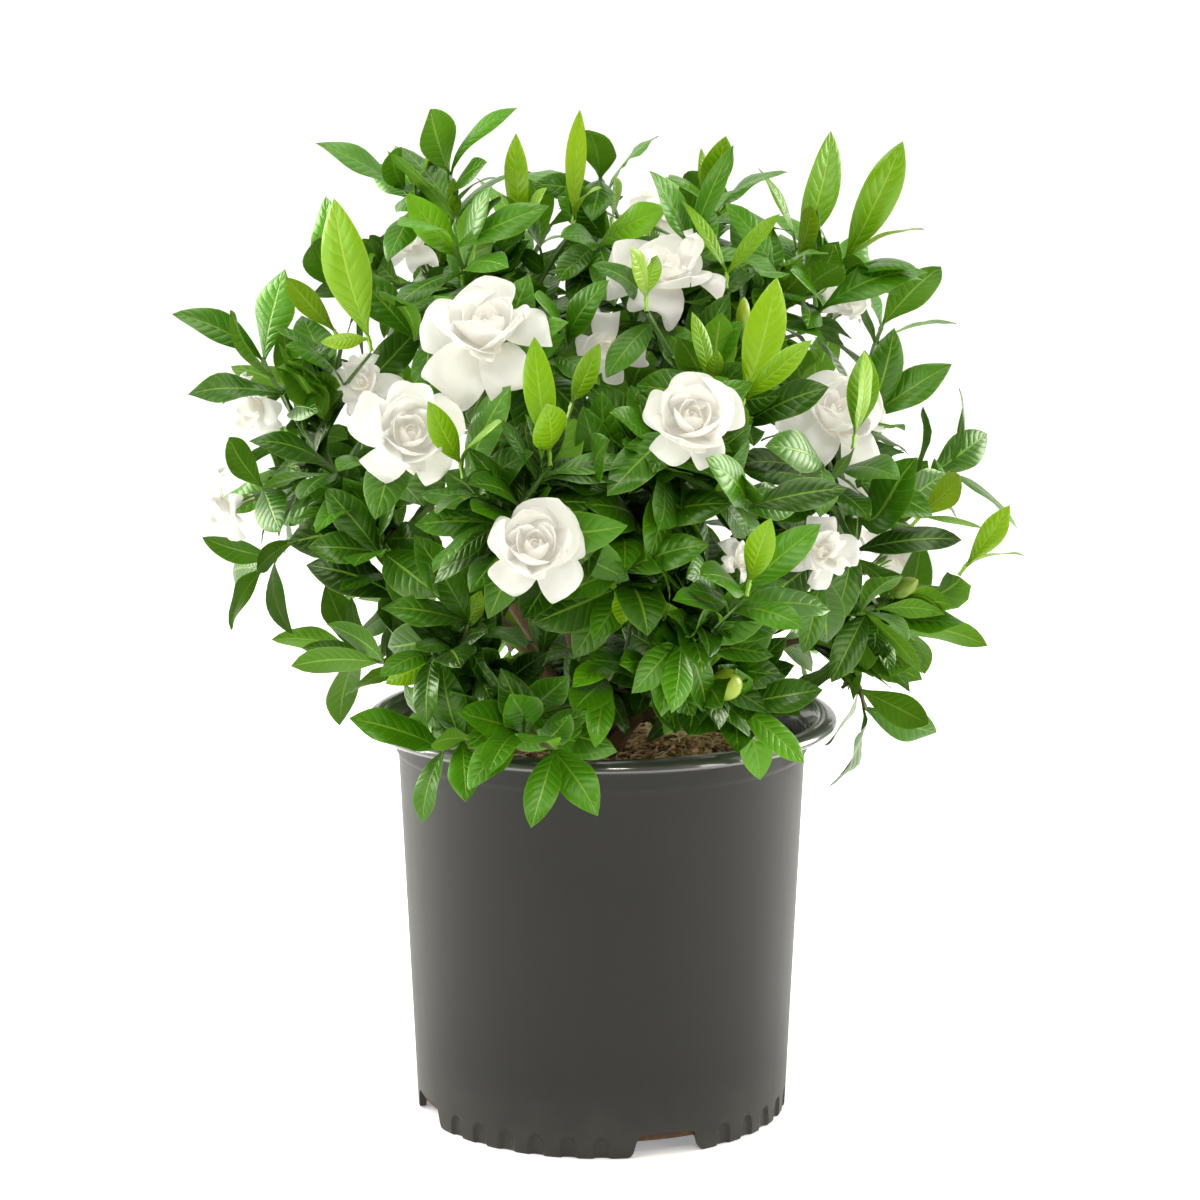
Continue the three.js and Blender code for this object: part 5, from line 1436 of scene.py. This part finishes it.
def chip(size, rng):
    """A splinter: a box with each corner drawn aside."""
    signs = np.array([(x, y, z) for x in (-1, 1) for y in (-1, 1) for z in (-1, 1)], float)
    corners = signs * size / 2 * rng.uniform(0.55, 1.1, (8, 3))
    faces = [[0, 1, 3, 2], [4, 6, 7, 5], [0, 4, 5, 1], [2, 3, 7, 6], [0, 2, 6, 4], [1, 5, 7, 3]]
    return corners, faces


def rotation(i, j, angle):
    """A turn in the plane of two axes."""
    matrix = np.eye(3)
    matrix[i, i] = matrix[j, j] = math.cos(angle)
    matrix[j, i] = math.sin(angle)
    matrix[i, j] = -math.sin(angle)
    return matrix


def spun(points, rng):
    """Turned at random about the upright, and tipped a little."""
    spin = rotation(0, 1, rng.uniform(-np.pi, np.pi))
    tip, roll = rng.normal(0, CHIP_TILT, 2)
    return points @ (spin @ rotation(1, 2, tip) @ rotation(2, 0, roll)).T


def scatter(count, rng):
    """Places on the mix, in millimetres, clear of the trunk and the pot's wall."""
    radius = np.sqrt(rng.uniform(*SCATTER_AREA, count)) * MIX_RADIUS
    turn = rng.uniform(0, 2 * np.pi, count)
    x, y = radius * np.cos(turn), radius * np.sin(turn)
    return np.stack([x, y, mix_height(x, y)], -1)


for place in scatter(CHIPS, mix_rng):
    size = np.array([mix_rng.uniform(2, 10), mix_rng.uniform(1.2, 4.5), mix_rng.uniform(0.6, 2.4)])
    corners, faces = chip(size, mix_rng)
    tone = mix_rng.random() ** 1.6
    mix.add((spun(corners, mix_rng) + place + [0, 0, 0.3]) * MM, faces, 1, (0, 0, tone))

# %% Fibres
FIBRES, FIBRE_POINTS, FIBRE_SIDES = 260, 7, 4


def fibre(place, rng, thick, run, heading, lift):
    """A flat strand that bends its own way and follows the mix's surface."""
    points, bend = [], rng.normal(0, 0.25)
    x, y = place[:2]
    step = run / (FIBRE_POINTS - 1)
    for _ in range(FIBRE_POINTS):
        points.append((x, y, 0.0))
        x, y = x + step * math.cos(heading), y + step * math.sin(heading)
        heading += bend + rng.normal(0, 0.15)
    line = np.array(points)
    line[:, 2] = mix_height(line[:, 0], line[:, 1]) + lift + rng.uniform(0, 1.5, FIBRE_POINTS)
    ahead = unit(np.gradient(line, axis=0))
    return line[:, None] + thick * around(ahead[:, None], even_turns(FIBRE_SIDES), 0.5)


def add_fibre(place, thick, heading, lift, tone):
    rings = fibre(place, mix_rng, thick, mix_rng.uniform(12, 36), heading, lift)
    if length(rings[..., :2]).max() < MIX_RADIUS - 2:
        mix.add(rings * MM, tube_faces(FIBRE_POINTS, FIBRE_SIDES), 2, (0, 0, tone))


for place in scatter(FIBRES, mix_rng):
    add_fibre(place, mix_rng.uniform(0.18, 0.5), mix_rng.uniform(0, 2 * np.pi), 1.0, mix_rng.random())

# %% A tuft of straw, where the photograph shows one
TUFT_PIXEL, TUFT_HEIGHT = (664, 728), 0.215
STRAWS, STRAW_HEADING, STRAW_LIFT = 34, -65, 3.4
sight = place_of(TUFT_PIXEL, 1.0) - CAMERA
tuft = (CAMERA + sight * (TUFT_HEIGHT - CAMERA[2]) / sight[2]) / MM
for _ in range(STRAWS):
    place = tuft + mix_rng.normal(0, 1, 3) * [5, 12, 0]
    heading = math.radians(mix_rng.normal(STRAW_HEADING, 28))
    add_fibre(place, mix_rng.uniform(0.45, 0.8), heading, STRAW_LIFT, mix_rng.uniform(0.5, 1))

# %% Pellets of plant feed
PELLETS, PELLET_SIDES = 45, 8
PELLET_STAGES = [(-1.0, 0.4), (-0.6, 0.95), (0.1, 1.2), (0.7, 0.9), (1.05, 0.3)]
ball = turned(np.zeros(3), UP, PELLET_STAGES, PELLET_SIDES)
ball_faces = tube_faces(len(PELLET_STAGES), PELLET_SIDES)
for place in scatter(PELLETS, mix_rng):
    mix.add((ball * mix_rng.uniform(0.8, 1.3) + place + [0, 0, 1.0]) * MM, ball_faces, 3)

# %% The finishes of the mix
def earth_paint(name, dark, light, rough, scale, depth):
    paint = Paint(name)
    *_, tone = paint.marks()
    crumbs = paint.noise(scale, 6, 0.7)
    return paint.finish(
        Base_Color=paint.mix(tone * 0.9 + (crumbs - 0.5) * 0.6 + 0.1, dark, light),
        Roughness=rough,
        Normal=paint.bump(crumbs, depth),
    )


peat = earth_paint("peat", (0.045, 0.022, 0.009), (0.26, 0.14, 0.06), 0.95, 240, 1.5 * MM)
# The light ends of the chips and fibres are partly the pieces' own tones and partly painted light against
# the crown's shade on the mix.
chips = earth_paint("bark_chips", (0.085, 0.036, 0.014), (1.0, 0.64, 0.31), 0.85, 380, 0.5 * MM)
fibres = earth_paint("fibres", (0.45, 0.3, 0.14), (1.0, 0.84, 0.56), 0.8, 300, 0.1 * MM)
pellets = earth_paint("feed_pellets", (0.05, 0.16, 0.12), (0.2, 0.34, 0.26), 0.5, 500, 0.1 * MM)
mix_piece = mix.make("potting_mix_surface", [peat, chips, fibres, pellets], 35)
dress(mix_piece, "potting_mix")
print("potting mix:", mix.count, "points")

# %% [markdown]
# ## The stage
#
# A pale floor, soft studio light and a camera where the photograph was taken from.

# %% Floor
FLOOR_HALF = 12.0
floor_mesh = bpy.data.meshes.new("floor")
corners = [(-FLOOR_HALF, -FLOOR_HALF, 0), (FLOOR_HALF, -FLOOR_HALF, 0)]
corners += [(FLOOR_HALF, FLOOR_HALF, 0), (-FLOOR_HALF, FLOOR_HALF, 0)]
floor_mesh.from_pydata(corners, [], [(0, 1, 2, 3)])
floor = new_object("floor", floor_mesh)
floor_paint = Paint("pale_floor").finish(
    Base_Color=(0.9, 0.9, 0.9),
    Roughness=0.9,
    Emission_Color=(1.0, 1.0, 1.0),
    Emission_Strength=0.28,
)
floor_mesh.materials.append(floor_paint)

# %% Light
WARM = (1.0, 0.975, 0.9)


def soft_light(name, place, size, power, target=(0, 0, 0.35)):
    lamp = bpy.data.lights.new(name, "AREA")
    lamp.shape = "SQUARE"
    lamp.size = size
    lamp.energy = power
    lamp.color = WARM
    light = new_object(name, lamp)
    light.location = place
    light.rotation_euler = (Vector(target) - Vector(place)).to_track_quat("-Z", "Y").to_euler()


soft_light("key", (-1.1, -1.5, 2.1), 1.0, 22)
soft_light("front", (0.3, -1.9, 1.7), 0.45, 12, (0, 0, 0.3))
soft_light("fill_right", (1.75, -1.05, 0.55), 0.9, 12, (0, 0, 0.2))
soft_light("fill_left", (-1.75, -1.05, 0.5), 0.9, 10, (0, 0, 0.2))
soft_light("rim_left", (-1.6, 0.5, 0.8), 0.9, 30)
soft_light("rim_right", (1.6, 0.6, 0.8), 0.9, 26)
soft_light("top", (0, 0.2, 2.2), 1.4, 20)

# %% The room: white behind and to the sides, dimmer in front, so the pot's middle stays dark
world = bpy.data.worlds.new("studio")
bpy.context.scene.world = world
world.use_nodes = True
room = world.node_tree.nodes
links = world.node_tree.links
where = room.new("ShaderNodeTexCoord")
parts = room.new("ShaderNodeSeparateXYZ")
links.new(where.outputs["Generated"], parts.inputs[0])
fade = room.new("ShaderNodeMapRange")
for key, value in {"From Min": -0.95, "From Max": 0.15, "To Min": 0.17, "To Max": 1.12}.items():
    fade.inputs[key].default_value = value
links.new(parts.outputs["Y"], fade.inputs["Value"])
links.new(fade.outputs["Result"], room["Background"].inputs["Strength"])
room["Background"].inputs["Color"].default_value = (1.0, 0.98, 0.93, 1)
bpy.context.scene.view_settings.view_transform = "Standard"

# %% Camera
lens = bpy.data.cameras.new("camera")
lens.sensor_width = 36
lens.lens = lens.sensor_width * FOCAL_PIXELS / FRAME_PIXELS
lens.clip_end = 50
viewer = new_object("camera", lens)
viewer.location = CAMERA
viewer.rotation_euler = (math.pi / 2 - PITCH, 0, 0)
bpy.context.scene.camera = viewer

# %% Print the solids' box and end
print("CAD box", cad_box)
